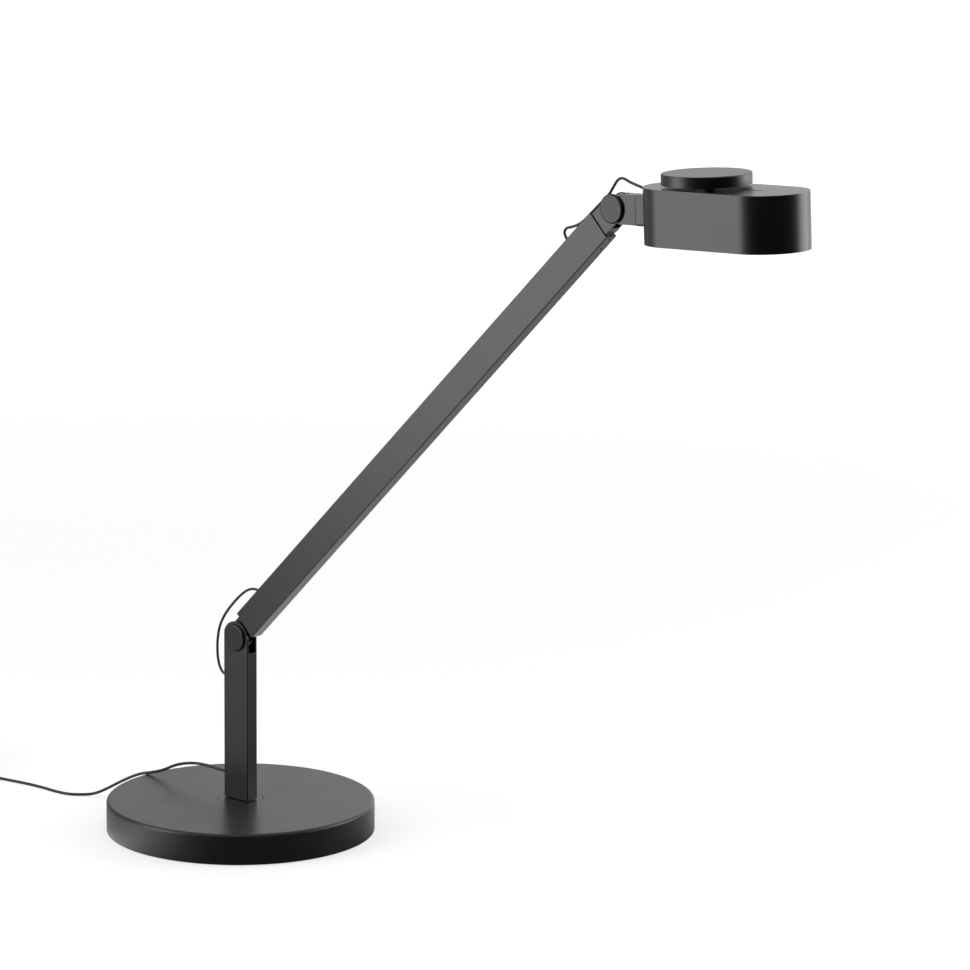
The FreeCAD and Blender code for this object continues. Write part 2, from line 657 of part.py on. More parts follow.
def swivel_pin():
    """The pin fixed in the neck, on which the head turns in the bracket."""
    start = d.swivel_start + d.nose_play
    pin = Piece("swivel_pin", HEAD)
    nose_from = d.nose_start + d.nose_play
    groove_from = d.grub_x - d.groove_half
    groove_to = d.grub_x + d.groove_half
    pin.rod(d.nose_r, groove_from - nose_from, (nose_from, 0, 0), "X")
    pin.rod(d.groove_r, start - nose_from, (nose_from, 0, 0), "X")
    pin.rod(d.nose_r, start - groove_to + 0.1, (groove_to, 0, 0), "X")
    pin.rod(d.swivel_r, d.neck_start - start, (start, 0, 0), "X")
    pin.rod(d.neck_pin_r - 0.03, d.neck_pin_stop - start - 0.2, (start, 0, 0), "X")


def swivel_spacer():
    long = d.neck_start - d.bracket_end - 0.02
    keep("swivel_spacer", ring(d.swivel_washer_r, d.swivel_r + 0.05, long, (d.neck_start - long, 0, 0), "X"),
         HEAD)


def head_neck():
    """The short neck, coped to the head's round end."""
    neck = Piece("head_neck", HEAD)
    y, z, r = d.neck_half_y, d.neck_half_z, d.neck_round
    neck.pad("YZ", (
        (-y, z), (-y, r - z, r, "left"), (r - y, -z), (y - r, -z, r, "left"), (y, r - z), (y, z),
    ), d.neck_root - d.neck_start, lifted=d.neck_start)
    rear_x = d.head_x - d.head_half
    neck.drill(d.head_r + d.neck_gap, 4 * z, (rear_x, 0, -2 * z))
    neck.drill(d.neck_pin_r, d.neck_pin_stop - d.neck_start, (d.neck_start, 0, 0), "X")
    for side in (-1, 1):
        neck.drill(d.neck_screw_r + 0.05, d.neck_root, (d.neck_screw_start - 0.5, 0, side * d.neck_screw_z), "X")


def neck_screws():
    screws = []
    for side in (-1, 1):
        z = side * d.neck_screw_z
        shank = loose_rod(d.neck_screw_r, d.neck_head_x + 0.5 - d.neck_screw_start, (d.neck_screw_start, 0, z), "X")
        head = loose_rod(d.neck_head_r, d.neck_head_long, (d.neck_head_x, 0, z), "X")
        screws.append(joined(shank, head))
    group("neck_screws", screws, HEAD)


def head_corners(across, along):
    for x_side in (-1, 1):
        for y_side in (-1, 1):
            yield x_side * across, y_side * along


def head_housing():
    """The deep oblong shade: a closed roof and wall, open below, with bosses for what it holds."""
    roof = d.head_top - d.roof_thick
    high = d.head_top + d.head_bottom
    inner = d.head_r - d.head_wall
    housing = Piece("head_housing", HEAD)
    housing.pad("XY", stadium(d.head_r), high, lifted=-d.head_bottom)
    housing.pocket("XY", stadium(inner), high - d.roof_thick, lifted=-d.head_bottom, upward=True)
    for x, y in head_corners(d.sink_boss_x, d.sink_boss_y):
        housing.rod(d.sink_boss_r, roof + 0.5, (d.head_x + x, y, 0))
    for x, y in head_corners(d.driver_boss_x, d.driver_boss_y):
        low = d.driver_z + d.driver_thick
        housing.rod(d.driver_boss_r, roof + 0.5 - low, (d.driver_x + x, y, low))
    for x, y in head_corners(d.sink_boss_x, d.sink_boss_y):
        housing.drill(d.sink_screw_r + 0.03, d.sink_screw_long, (d.head_x + x, y, 0))
    for x, y in head_corners(d.driver_boss_x, d.driver_boss_y):
        low = d.driver_z + d.driver_thick
        housing.drill(d.driver_screw_r + 0.03, d.driver_screw_long, (d.driver_x + x, y, low))
    housing.mill((d.index_stop - d.index_start, d.index_wide, d.index_deep + 1),
                 (d.index_start, -d.index_wide / 2, d.head_top - d.index_deep))
    housing.drill(d.pot_neck_r + 0.1, 2 * d.roof_thick, (d.knob_x, 0, roof - 1))
    rear = d.head_x - d.head_half - d.head_r - 1
    for side in (-1, 1):
        housing.drill(d.neck_screw_r + 0.15, 2 * d.head_wall, (rear, 0, side * d.neck_screw_z), "X")
        housing.drill(d.neck_head_r + 0.1, 2 * d.head_wall, (d.neck_head_x - 0.02, 0, side * d.neck_screw_z), "X")
    housing.drill(d.head_hole_r, 2 * d.head_wall, (rear, 0, d.head_cable_z), "X")


def heat_sink():
    """The finned plate that the LED board is screwed to."""
    sink = Piece("heat_sink", HEAD).pad("XY", stadium(d.sink_r), d.sink_thick, lifted=-d.sink_thick)
    for number in range(FINS):
        y = (number - (FINS - 1) / 2) * d.fin_pitch - d.fin_thick / 2
        sink.block((d.fin_long, d.fin_thick, d.fin_high + 0.5), (d.head_x - d.fin_long / 2, y, -0.5))
    for x, y in head_corners(d.sink_boss_x, d.sink_boss_y):
        sink.drill(d.sink_screw_r + 0.3, 2 * d.sink_thick, (d.head_x + x, y, -d.sink_thick - 1))


def sink_screws():
    screws = []
    for x, y in head_corners(d.sink_boss_x, d.sink_boss_y):
        low = -d.sink_thick - d.sink_head_thick
        head = loose_rod(d.sink_head_r, d.sink_head_thick, (d.head_x + x, y, low))
        shank = loose_rod(d.sink_screw_r, d.sink_screw_long - 1 - low, (d.head_x + x, y, low))
        screws.append(joined(head, shank))
    group("sink_screws", screws, HEAD)


def led_board():
    low = -d.sink_thick - d.board_thick
    at = (d.head_x - d.board_long / 2, -d.board_wide / 2, low)
    Piece("led_board", HEAD).block((d.board_long, d.board_wide, d.board_thick), at)


def led_chips():
    low = -d.sink_thick - d.board_thick - d.chip_thick
    chips = []
    for row in range(CHIPS_LONG):
        for column in range(CHIPS_WIDE):
            x = d.head_x + (row - (CHIPS_LONG - 1) / 2) * d.chip_pitch_x - d.chip_long / 2
            y = (column - (CHIPS_WIDE - 1) / 2) * d.chip_pitch_y - d.chip_wide / 2
            chips.append(loose_block((d.chip_long, d.chip_wide, d.chip_thick), (x, y, low)))
    group("led_chips", chips, HEAD)


def reflector_tray():
    """The white frame round the LEDs, with a lip that the diffuser is bonded to."""
    tray = Piece("reflector_tray", HEAD)
    tray.pad("XY", stadium(d.tray_r), d.tray_bottom - d.sink_thick, lifted=-d.tray_bottom)
    tray.pad("XY", stadium(d.tray_lip_r), d.tray_lip_thick, lifted=-d.tray_bottom)
    inner = d.tray_r - d.tray_wall
    tray.pocket("XY", stadium(inner), d.tray_bottom, lifted=-d.tray_bottom, upward=True)


def diffuser():
    plate = Piece("diffuser", HEAD)
    plate.pad("XY", stadium(d.tray_lip_r), d.diffuser_thick, lifted=-d.tray_bottom - d.diffuser_thick)


def driver_board():
    """The driver's board with its coil, capacitors and chip."""
    top = d.driver_z + d.driver_thick - 0.1
    board = Piece("driver_board", HEAD)
    board.block((d.driver_long, d.driver_wide, d.driver_thick),
                (d.driver_x - d.driver_long / 2, -d.driver_wide / 2, d.driver_z))
    board.rod(4.0, 4.5, (d.driver_x - 4, 0, top)).rod(2.5, 4.8, (d.driver_x + 5, 5, top))
    board.rod(2.5, 4.8, (d.driver_x + 5, -5, top)).block((6, 8, 1.6), (d.driver_x + 10, -4, top))
    for x, y in head_corners(d.driver_boss_x, d.driver_boss_y):
        board.drill(d.driver_screw_r + 0.1, 2 * d.driver_thick, (d.driver_x + x, y, d.driver_z - 1))


def driver_screws():
    screws = []
    for x, y in head_corners(d.driver_boss_x, d.driver_boss_y):
        low = d.driver_z - d.driver_head_thick
        head = loose_rod(d.driver_head_r, d.driver_head_thick, (d.driver_x + x, y, low))
        shank = loose_rod(d.driver_screw_r, d.driver_screw_long + 1, (d.driver_x + x, y, low))
        screws.append(joined(head, shank))
    group("driver_screws", screws, HEAD)


def dimmer_pot():
    """The dimmer's body under the roof, with its threaded neck through it."""
    roof = d.head_top - d.roof_thick
    low = roof - d.pot_high
    pot = Piece("dimmer_pot", HEAD)
    pot.block((d.pot_side, d.pot_side, d.pot_high), (d.knob_x - d.pot_side / 2, -d.pot_side / 2, low))
    pot.rod(d.pot_neck_r, d.pot_neck_top - low - 1, (d.knob_x, 0, low + 1))
    pot.drill(d.shaft_r + d.shaft_fit, d.knob_top, (d.knob_x, 0, low + d.pot_floor))


def pot_nut():
    """The dimmer's washer and nut, one above the other on its neck."""
    low = d.head_top
    prism = doc.addObject("Part::Prism", "NutBlank")
    prism.Polygon = HEX
    bind(prism, "Circumradius", d.pot_nut_r)
    bind(prism, "Height", d.pot_nut_thick)
    bind_place(prism, (d.knob_x, 0, low + d.pot_washer_thick), Rotation())
    hole = d.pot_neck_r + 0.02
    nut = less(prism, loose_rod(hole, d.pot_nut_thick, (d.knob_x, 0, low + d.pot_washer_thick)))
    washer = ring(d.pot_washer_r, hole, d.pot_washer_thick, (d.knob_x, 0, low))
    group("pot_nut", (washer, nut), HEAD)


def dimmer_knob():
    """The wide flat knob: a moulded disc, hollow below between its rim and its hub."""
    under = d.knob_top - d.knob_roof
    rim = d.knob_r - d.knob_rim
    bore = d.shaft_r
    Piece("dimmer_knob", KNOB).turn((
        (0, d.shaft_top), (bore, d.shaft_top), (bore, d.knob_bay_top), (d.knob_bay_r, d.knob_bay_top),
        (d.knob_bay_r, d.knob_low), (d.knob_hub_r, d.knob_low), (d.knob_hub_r, under), (rim, under),
        (rim, d.knob_low), (d.knob_r, d.knob_low), (d.knob_r, d.knob_top - d.knob_round, d.knob_round, "left"),
        (d.knob_r - d.knob_round, d.knob_top), (0, d.knob_top),
    ))


def dimmer_shaft():
    low = d.head_top - d.roof_thick - d.pot_high + d.pot_floor + 0.2
    Piece("dimmer_shaft", KNOB).rod(d.shaft_r - 0.02, d.shaft_top - 0.1 - low, (0, 0, low))


# ---------------------------------------------------------------- cables

def tangent_arc(start, heading, stop):
    """The arc from start to stop that leaves along heading, and the heading at its end."""
    chord = stop - start
    way = Vector(chord)
    way.normalize()
    after = way * (2 * heading.dot(way)) - heading
    outward = heading - after
    outward.normalize()
    turn = heading.getAngle(after)
    middle = (start + stop) / 2 + outward * (chord.Length / 2 * math.tan(turn / 4))
    return Part.Arc(start, middle, stop).toShape(), after


def smooth_route(name, points):
    """Straight runs joined by arcs as large as the shorter run allows."""
    edges = []
    radii = []
    here = points[0]
    for before, corner, after in zip(points, points[1:], points[2:]):
        into = corner - before
        out = after - corner
        turn = into.getAngle(out)
        back = 0.45 * min(into.Length, out.Length)
        radii.append(back / math.tan(turn / 2))
        start = corner - into / into.Length * back
        stop = corner + out / out.Length * back
        edges.append(Part.LineSegment(here, start).toShape())
        edges.append(tangent_arc(start, into / into.Length, stop)[0])
        here = stop
    edges.append(Part.LineSegment(here, points[-1]).toShape())
    print(f"{name}: least radius {min(radii):.1f}, radii {[round(r, 1) for r in radii]}")
    return edges


def tube(name, edges, diameter):
    """A round tube along the edges, compared with its section times its length."""
    spine = Part.Wire(edges)
    start = edges[0].valueAt(edges[0].FirstParameter)
    heading = edges[0].tangentAt(edges[0].FirstParameter)
    section = Part.Wire([Part.Circle(start, heading, diameter / 2).toShape()])
    solid = spine.makePipeShell([section], True, False)
    expected = math.pi * diameter ** 2 / 4 * spine.Length
    print(f"{name}: length {spine.Length:.1f} mm, volume {solid.Volume:.1f} of {expected:.1f} mm3")
    feature = doc.addObject("Part::Feature", name)
    feature.Label = name
    feature.Shape = solid
    parts[name] = feature
    return spine.Length


def place(frame, x, z):
    """A point of a frame, in the lamp's axes."""
    lift = math.radians(frame.lift.value)
    return Vector(frame.x.value + x * math.cos(lift) - z * math.sin(lift), 0,
                  frame.z.value + x * math.sin(lift) + z * math.cos(lift))


REAR = -d.post_wide.value / 2

# the cable inside the post, from the supply lead's hole to the loop's
POST_CABLE = (
    (REAR, 0, d.lead_hole_z.value), (-3.8, 0, d.lead_hole_z.value), (0.6, 0, 46.6), (1.4, 0, 62.0),
    (2.2, 0, 78.0), (1.4, 0, 94.0), (0.6, 0, 108.6), (-3.8, 0, d.loop_hole_z.value),
    (REAR, 0, d.loop_hole_z.value),
)

# the loop behind the lower hinge, from the post's back to the arm's top
LOWER_LOOP = (
    (REAR, 0, 115.6), (-17.2, 0, 115.6), (-21.0, 0, 118.9), (-23.5, 0, 124.7), (-24.5, 0, 133.0),
    (-24.1, 0, 142.4), (-21.7, 0, 152.6), (-15.8, 0, 162.4), (-7.6, 0, 171.5), (1.0, 0, 179.6),
    (9.0, 0, 184.9),
)
# its end, along the arm and above its top: down through the hole
LOWER_LOOP_END = ((-2.1, 3.63), (0, 0))

# the upper loop's start, along the arm and above its top: up out of the hole, then forward
UPPER_LOOP_START = ((0, 0), (0, 3.7), (1.3, 7.0), (4.9, 7.9), (9.6, 6.3), (15.6, 4.3), (22.6, 2.7))
# the rest of it, over the upper hinge
UPPER_LOOP = (
    (343.2, 0, 506.0), (350.6, 0, 511.6), (356.3, 0, 516.6), (360.4, 0, 522.8), (364.0, 0, 527.9),
    (368.6, 0, 529.2), (374.0, 0, 527.0), (377.1, 0, 526.292),
)
# on down to the hole in the head's rear wall, and inside to the dimmer
HEAD_CABLE = (
    (377.1, 0, 526.292), (383.2, 0, 524.9), (389.6, 0, 523.5), (396.6, 0, 522.8), (405.6, 0, 523.0),
    (416.0, 0, 523.7), (426.0, 0, 524.2),
)

# the cable inside the arm, along the arm and from its middle line
ARM_CABLE = (
    (50.0, 3.0), (64.0, 0.2), (90.0, -3.0), (130.0, -5.4), (180.0, -6.6), (235.0, -7.0), (290.0, -6.6),
    (340.0, -5.6), (385.0, -4.0), (422.0, -1.8), (443.0, 0.2), (454.0, 1.6), (459.2, 4.3),
)

# the supply lead, over the base's rim and along the floor
SUPPLY = (
    (REAR, 0, 41.2), (-22.0, 0, 41.2), (-36.0, 0, 42.0), (-52.0, 0, 40.8), (-69.0, 0, 37.1),
    (-86.0, -0.8, 31.4),
    (-102.5, -3.6, 24.4), (-120.0, -8.4, 15.2), (-133.5, -13.2, 6.6), (-143.0, -16.6, 1.9),
    (-150.0, -21.8, 1.1), (-158.0, -28.4, 1.1), (-171.0, -30.0, 1.1), (-187.0, -29.1, 1.1),
    (-203.0, -30.1, 1.1), (-218.0, -32.4, 1.1), (-231.0, -34.6, 1.1), (-241.0, -35.2, 1.1),
)
COIL_START = (-250.0, -35.2, 1.1)


def vectors(points):
    return [Vector(*point) for point in points]


def post_cable():
    tube("post_cable", smooth_route("post_cable", vectors(POST_CABLE)), d.cable_d.value)


def arm_cable():
    """The cable inside the arm, which slants in and out at its two holes."""
    first, last = d.low_cable_s.value, d.high_cable_s.value
    start = above_arm(first, ((0, 0), (2.1, -3.63)))
    end = above_arm(last, ((0, -4.54), (0, 0)))
    middle = [place(ARM, along, high) for along, high in ARM_CABLE]
    tube("arm_cable", smooth_route("arm_cable", start + middle + end), d.cable_d.value)


def above_arm(hole, points):
    """Points that are given along the arm from a hole in its top, and above that top."""
    top = (d.arm_offset + d.arm_high / 2).value
    return [place(ARM, hole + along, top + high) for along, high in points]


def loops():
    """The cable's two bare loops; the upper one is in two lengths, which meet above the bracket."""
    lower = vectors(LOWER_LOOP) + above_arm(d.low_cable_s.value, LOWER_LOOP_END)
    tube("lower_cable_loop", smooth_route("lower_cable_loop", lower), d.cable_d.value)
    upper = above_arm(d.high_cable_s.value, UPPER_LOOP_START) + vectors(UPPER_LOOP)
    tube("upper_cable_loop", smooth_route("upper_cable_loop", upper), d.cable_d.value)
    pot_back = (d.knob_x - d.pot_side / 2).value
    last = vectors(HEAD_CABLE) + [place(HEAD, pot_back, d.head_cable_z.value)]
    tube("head_cable", smooth_route("head_cable", last), d.cable_d.value)


def coil_edges(start):
    """Half turns that spiral in and out in layers, with a climb where the spiral turns back."""
    step = d.coil_pitch.value / 2
    inward = [d.coil_outer_r.value - step * k for k in range(COIL_HALF_TURNS_IN)]
    least = d.coil_outer_r.value - step * COIL_HALF_TURNS_IN
    halves = []
    for layer in range(COIL_LAYERS):
        radii = inward if layer % 2 == 0 else list(reversed(inward))
        first = 1 if layer and layer % 2 == 0 else 0
        last = len(radii) - (1 if layer % 2 == 1 and layer < COIL_LAYERS - 1 else 0)
        halves += [(radius, 0.0) for radius in radii[first:last]]
        if layer < COIL_LAYERS - 1:
            turn_r = least if layer % 2 == 0 else d.coil_outer_r.value
            halves.append((turn_r, d.coil_pitch.value))
    heading = Vector(-1, 0, 0)
    lead_in = Vector(start) + heading * d.lead_d.value
    edges = [Part.LineSegment(Vector(start), lead_in).toShape()]
    here = lead_in
    lift_out = d.adapter_high.value / 2 - start[2] - d.coil_pitch.value * (COIL_LAYERS - 1)
    halves.append((d.coil_outer_r.value + step, lift_out))
    for radius, climb in halves:
        side = Vector(0, -1, 0) if heading.x < 0 else Vector(0, 1, 0)
        stop = here + side * (2 * radius) + Vector(0, 0, climb)
        if climb:
            bulge = math.sqrt(radius ** 2 + climb ** 2 / 4)
            middle = here + side * radius + heading * bulge + Vector(0, 0, climb / 2)
            edge, slant = tangent_arc(here, heading, middle)
            edges += [edge, tangent_arc(middle, slant, stop)[0]]
        else:
            edges.append(tangent_arc(here, heading, stop)[0])
        here = stop
        heading = -heading
    tail = here + heading * (2 * d.lead_d.value)
    edges.append(Part.LineSegment(here, tail).toShape())
    return edges, tail, len(halves) / 2


def least_gap(edges, diameter):
    """The least gap between the tube and its own other turns, on points 1 mm apart."""
    points = []
    for edge in edges:
        count = max(2, round(edge.Length))
        points += edge.discretize(Number=count + 1)[:-1]
    apart = round(3 * diameter)
    least = min(
        (p - q).Length
        for i, p in enumerate(points)
        for q in points[i + apart:]
        if abs(p.x - q.x) < 4 and abs(p.y - q.y) < 4
    )
    return least - diameter


def supply_lead():
    """The supply lead, its put-away coil and the plug-in adapter on its end."""
    free = tube("supply_cord", smooth_route("supply_cord", vectors(SUPPLY + (COIL_START,))), d.lead_d.value)
    edges, tail, turns = coil_edges(COIL_START)
    wound = tube("cord_coil", edges, d.lead_d.value)
    print(f"supply lead: {free + wound:.0f} mm in all, {turns} turns, "
          f"least gap in the coil {least_gap(edges, d.lead_d.value):.2f} mm")
    adapter(tail)


def adapter(tip):
    """The plug-in adapter on its back beside the coil, pins up, with the cord's tapered relief."""
    relief = doc.addObject("Part::Cone", "cord_relief")
    relief.Label = "cord_relief"
    bind(relief, "Radius1", d.relief_tip_r)
    bind(relief, "Radius2", d.relief_r)
    bind(relief, "Height", d.relief_long)
    relief.Placement = Placement(tip, Rotation(Vector(0, 1, 0), -90))
    parts["cord_relief"] = relief
    front = tip.x - d.relief_long.value
    blank = loose_block((d.adapter_long, d.adapter_wide, d.adapter_high),
                        (front - d.adapter_long, tip.y - d.adapter_wide / 2, 0))
    doc.recompute()
    body = doc.addObject("Part::Fillet", "power_adapter")
    body.Base = blank
    upright = [n for n, edge in enumerate(blank.Shape.Edges, start=1) if is_upright(edge)]
    body.Edges = [(n, d.adapter_round.value, d.adapter_round.value) for n in upright]
    body.Label = "power_adapter"
    parts["power_adapter"] = body
    pins = []
    for side in (-1, 1):
        x = front - d.adapter_long + d.pin_back
        y = tip.y + side * d.pin_apart / 2
        sleeve = loose_rod(d.pin_sleeve_r, d.pin_sleeve_long, (x, y, d.adapter_high))
        pin = loose_rod(d.pin_r, d.pin_long, (x, y, d.adapter_high))
        pins.append(joined(sleeve, pin))
    group("adapter_pins", pins)


def is_upright(edge):
    ends = [vertex.Point for vertex in edge.Vertexes]
    return abs(ends[0].z - ends[-1].z) > 1


# ---------------------------------------------------------------- the lamp

def build():
    base_cover()
    base_weight()
    base_pad()
    base_screws()
    swivel_bush()
    swivel_disc()
    swivel_stem()
    swivel_washer()
    swivel_nut()
    post_foot()
    foot_screws()
    post_tube()
    hinge("lower_hinge_cap", "lower_hinge_screw", "lower_friction_washers", LOW_HINGE)
    lower_tongue()
    arm_tube()
    upper_fork()
    arm_screws()
    hinge("upper_hinge_cap", "upper_hinge_screw", "upper_friction_washers", FORK)
    bracket()
    bracket_grub()
    swivel_pin()
    swivel_spacer()
    head_neck()
    neck_screws()
    head_housing()
    heat_sink()
    sink_screws()
    led_board()
    led_chips()
    reflector_tray()
    diffuser()
    driver_board()
    driver_screws()
    dimmer_pot()
    pot_nut()
    dimmer_knob()
    dimmer_shaft()
    post_cable()
    arm_cable()
    loops()
    supply_lead()
    doc.recompute()


def check():
    """Stop on any object that failed to build and on any sub-part with no sound shape."""
    failed = [obj.Name for obj in doc.Objects if "Invalid" in obj.State or "Error" in obj.State]
    unsound = [name for name, part in parts.items() if part.Shape.isNull() or not part.Shape.isValid()]
    if failed or unsound:
        raise SystemExit(f"failed objects {failed}, unsound sub-parts {unsound}")


def write():
    os.makedirs("parts", exist_ok=True)
    for name, part in parts.items():
        part.Shape.exportStep(os.path.join("parts", name + ".step"))
    print(f"{len(parts)} sub-parts, {sum(len(part.Shape.Solids) for part in parts.values())} solids")


build()
check()
write()
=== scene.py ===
# %% [markdown]
# A desk lamp, dressed for its portrait.
#
# The lamp's solid parts come ready made: a heavy round base, a flat post, one long arm, a short bracket
# and an oblong head with a wide dimmer knob. This lesson gives each of them the finish that it has on the
# real lamp, runs the thin cable along its real route, and builds the white table that the lamp is
# photographed on. Everything is in metres, with +Z up, +X the way the arm reaches and the middle of the
# base's underside at zero.

# %% Load the solid parts
import json
import math

import bpy
from mathutils import Matrix, Vector


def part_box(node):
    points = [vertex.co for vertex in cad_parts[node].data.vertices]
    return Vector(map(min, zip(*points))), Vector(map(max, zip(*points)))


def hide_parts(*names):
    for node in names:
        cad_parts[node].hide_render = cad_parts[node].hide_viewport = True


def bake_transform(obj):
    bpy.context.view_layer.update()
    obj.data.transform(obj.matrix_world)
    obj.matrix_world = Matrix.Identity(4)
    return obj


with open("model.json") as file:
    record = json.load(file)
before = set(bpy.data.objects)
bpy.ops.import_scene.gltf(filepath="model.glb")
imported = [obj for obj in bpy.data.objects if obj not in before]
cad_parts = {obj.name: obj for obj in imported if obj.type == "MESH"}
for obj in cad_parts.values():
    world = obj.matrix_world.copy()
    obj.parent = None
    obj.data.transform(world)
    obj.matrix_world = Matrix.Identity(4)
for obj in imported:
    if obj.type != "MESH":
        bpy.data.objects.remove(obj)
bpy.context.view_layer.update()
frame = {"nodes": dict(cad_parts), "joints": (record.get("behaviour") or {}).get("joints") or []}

print("solid parts:", len(frame["nodes"]))

# %% [markdown]
# The camera stands where the photographer stood: 42 degrees round from the arm's plane, a little above
# the lamp and well back, with a long lens that keeps upright edges upright. A camera's place and turn can
# be set with angles, but three vectors say it more plainly: where it looks, what is to its right and what
# is up.

# %% Place the camera
CAMERA_AT = Vector((2.511011, -2.477084, 1.010345))
CAMERA_LOOKS = Vector((-0.66039, 0.72172, -0.20737))
CAMERA_RIGHT = Vector((0.73655, 0.67633, 0.00829))
CAMERA_LENS_MM = 181.54
SENSOR_WIDE_MM = 36.0

camera = bpy.data.objects.new("portrait_camera", bpy.data.cameras.new("portrait_camera"))
bpy.context.scene.collection.objects.link(camera)
back = -CAMERA_LOOKS.normalized()
right = (CAMERA_RIGHT - CAMERA_RIGHT.dot(back) * back).normalized()
turned = Matrix((right, back.cross(right), back)).transposed().to_4x4()
camera.matrix_world = Matrix.Translation(CAMERA_AT) @ turned
camera.data.lens = CAMERA_LENS_MM
camera.data.sensor_width = SENSOR_WIDE_MM
camera.data.clip_start = 0.1
camera.data.clip_end = 100.0
bpy.context.scene.camera = camera
print("camera distance, m:", round(CAMERA_AT.length, 3))

# %% [markdown]
# A finish in Blender is a little network of nodes. Written out by hand it takes a dozen lines to add two
# numbers, so here is a small class that lets a node's output be used as a value in an ordinary sum: each
# operator adds the Math node that it stands for. One method adds any other node: its settings go in
# first, then what feeds it.


# %% A class that writes shader sums
class Wire:
    """What comes out of a node, ready to be used in a sum."""

    def __init__(self, finish, socket):
        self.finish = finish
        self.socket = socket

    def sum_node(self, operation, first, second):
        """The Math node that an operator stands for."""
        return self.finish.add("Math", {"operation": operation}, {0: first, 1: second})

    def __add__(self, other):
        return self.sum_node("ADD", self, other)

    def __radd__(self, other):
        return self.sum_node("ADD", other, self)

    def __sub__(self, other):
        return self.sum_node("SUBTRACT", self, other)

    def __rsub__(self, other):
        return self.sum_node("SUBTRACT", other, self)

    def __mul__(self, other):
        return self.sum_node("MULTIPLY", self, other)

    def __rmul__(self, other):
        return self.sum_node("MULTIPLY", other, self)

    def __truediv__(self, other):
        return self.sum_node("DIVIDE", self, other)

    def __pow__(self, other):
        return self.sum_node("POWER", self, other)


class Finish:
    """A material under construction, around one Principled shader."""

    def __init__(self, name, **shader):
        self.material = bpy.data.materials.new(name)
        self.material.use_nodes = True
        self.tree = self.material.node_tree
        self.tree.nodes.clear()
        self.shader = self.tree.nodes.new("ShaderNodeBsdfPrincipled")
        self.output = self.tree.nodes.new("ShaderNodeOutputMaterial")
        self.tree.links.new(self.shader.outputs[0], self.output.inputs["Surface"])
        self.set(**shader)

    def feed(self, socket, value):
        """Link a wire to a socket, or set the socket to a plain value."""
        if isinstance(value, Wire):
            self.tree.links.new(value.socket, socket)
        elif socket.type == "RGBA" and len(value) == 3:
            socket.default_value = (*value, 1.0)
        else:
            socket.default_value = value

    def add(self, kind, settings=None, inputs=None, output=0):
        """A node of any kind: its settings first, then what feeds its sockets."""
        node = self.tree.nodes.new("ShaderNode" + kind)
        for name, value in (settings or {}).items():
            if name == "stops":
                set_stops(node.color_ramp, value)
            else:
                setattr(node, name, value)
        for name, value in (inputs or {}).items():
            self.feed(node.inputs[name], value)
        return Wire(self, node.outputs[output])

    def set(self, **shader):
        """Feed the shader's own sockets, named with underscores for spaces."""
        for name, value in shader.items():
            self.feed(self.shader.inputs[name.replace("_", " ")], value)

    def place(self, scale=(1.0, 1.0, 1.0)):
        """The part's own coordinates, in metres, which ride with it when a joint moves."""
        here = self.add("TexCoord", output="Object")
        return self.add("VectorMath", {"operation": "MULTIPLY"}, {0: here, 1: scale})

    def noise(self, grains_per_metre, detail=2.0, rough=0.5, scale=(1.0, 1.0, 1.0)):
        """Soft random mottling, 0 to 1."""
        inputs = {"Vector": self.place(scale), "Scale": grains_per_metre}
        inputs.update({"Detail": detail, "Roughness": rough})
        return self.add("TexNoise", {}, inputs)

    def cells(self, cells_per_metre):
        """The distance to the nearest of many scattered points."""
        return self.add("TexVoronoi", {}, {"Vector": self.place(), "Scale": cells_per_metre})

    def axis(self, name):
        """One of the three coordinates of the place, in metres."""
        return self.add("SeparateXYZ", {}, {0: self.place()}, output="XYZ".index(name))

    def between(self, value, low, high, start=0.0, stop=1.0):
        """Stretch a value's range from low..high to start..stop, with soft ends."""
        settings = {"interpolation_type": "SMOOTHSTEP"}
        return self.add("MapRange", settings, {0: value, 1: low, 2: high, 3: start, 4: stop})

    def mix(self, amount, first, second):
        """From one colour to another."""
        return self.add("Mix", {"data_type": "RGBA"}, {0: amount, 6: first, 7: second}, output=2)

    def bump(self, height, depth_mm, under=None):
        """Let a pattern stand proud by so many millimetres, over another bump if there is one."""
        inputs = {"Height": height, "Strength": 1.0, "Distance": depth_mm / 1000.0}
        if under is not None:
            inputs["Normal"] = under
        return self.add("Bump", {}, inputs)


def set_stops(ramp, stops):
    """Give a colour ramp these stops, from left to right."""
    for position, _ in stops[1:-1]:
        ramp.elements.new(position)
    for element, (position, colour) in zip(ramp.elements, stops):
        element.position = position
        element.color = (*colour, 1.0)


finishes = {}
print("shader class ready")

# %% [markdown]
# Post, arm, bracket and head share one finish: a satin black lacquer, baked on. Up close it has the faint
# orange peel of sprayed paint over a fine grain. It is nearly black straight on and turns a soft grey
# where light skims along it, which the shader's own Fresnel gives if the gloss is broad. Peel and grain
# are bumps a few microns high, and the gloss wanders a little, as it does where paint lies thicker or
# thinner.

# %% Satin black lacquer
LACQUER_BLACK = (0.0032, 0.0031, 0.0030)
LACQUER_THIN = (0.0046, 0.0045, 0.0043)
PEEL_PER_M = 620.0
GRAIN_PER_M = 3800.0
DRIFT_PER_M = 34.0
THIN_FROM = 0.35
THIN_FULL = 0.7


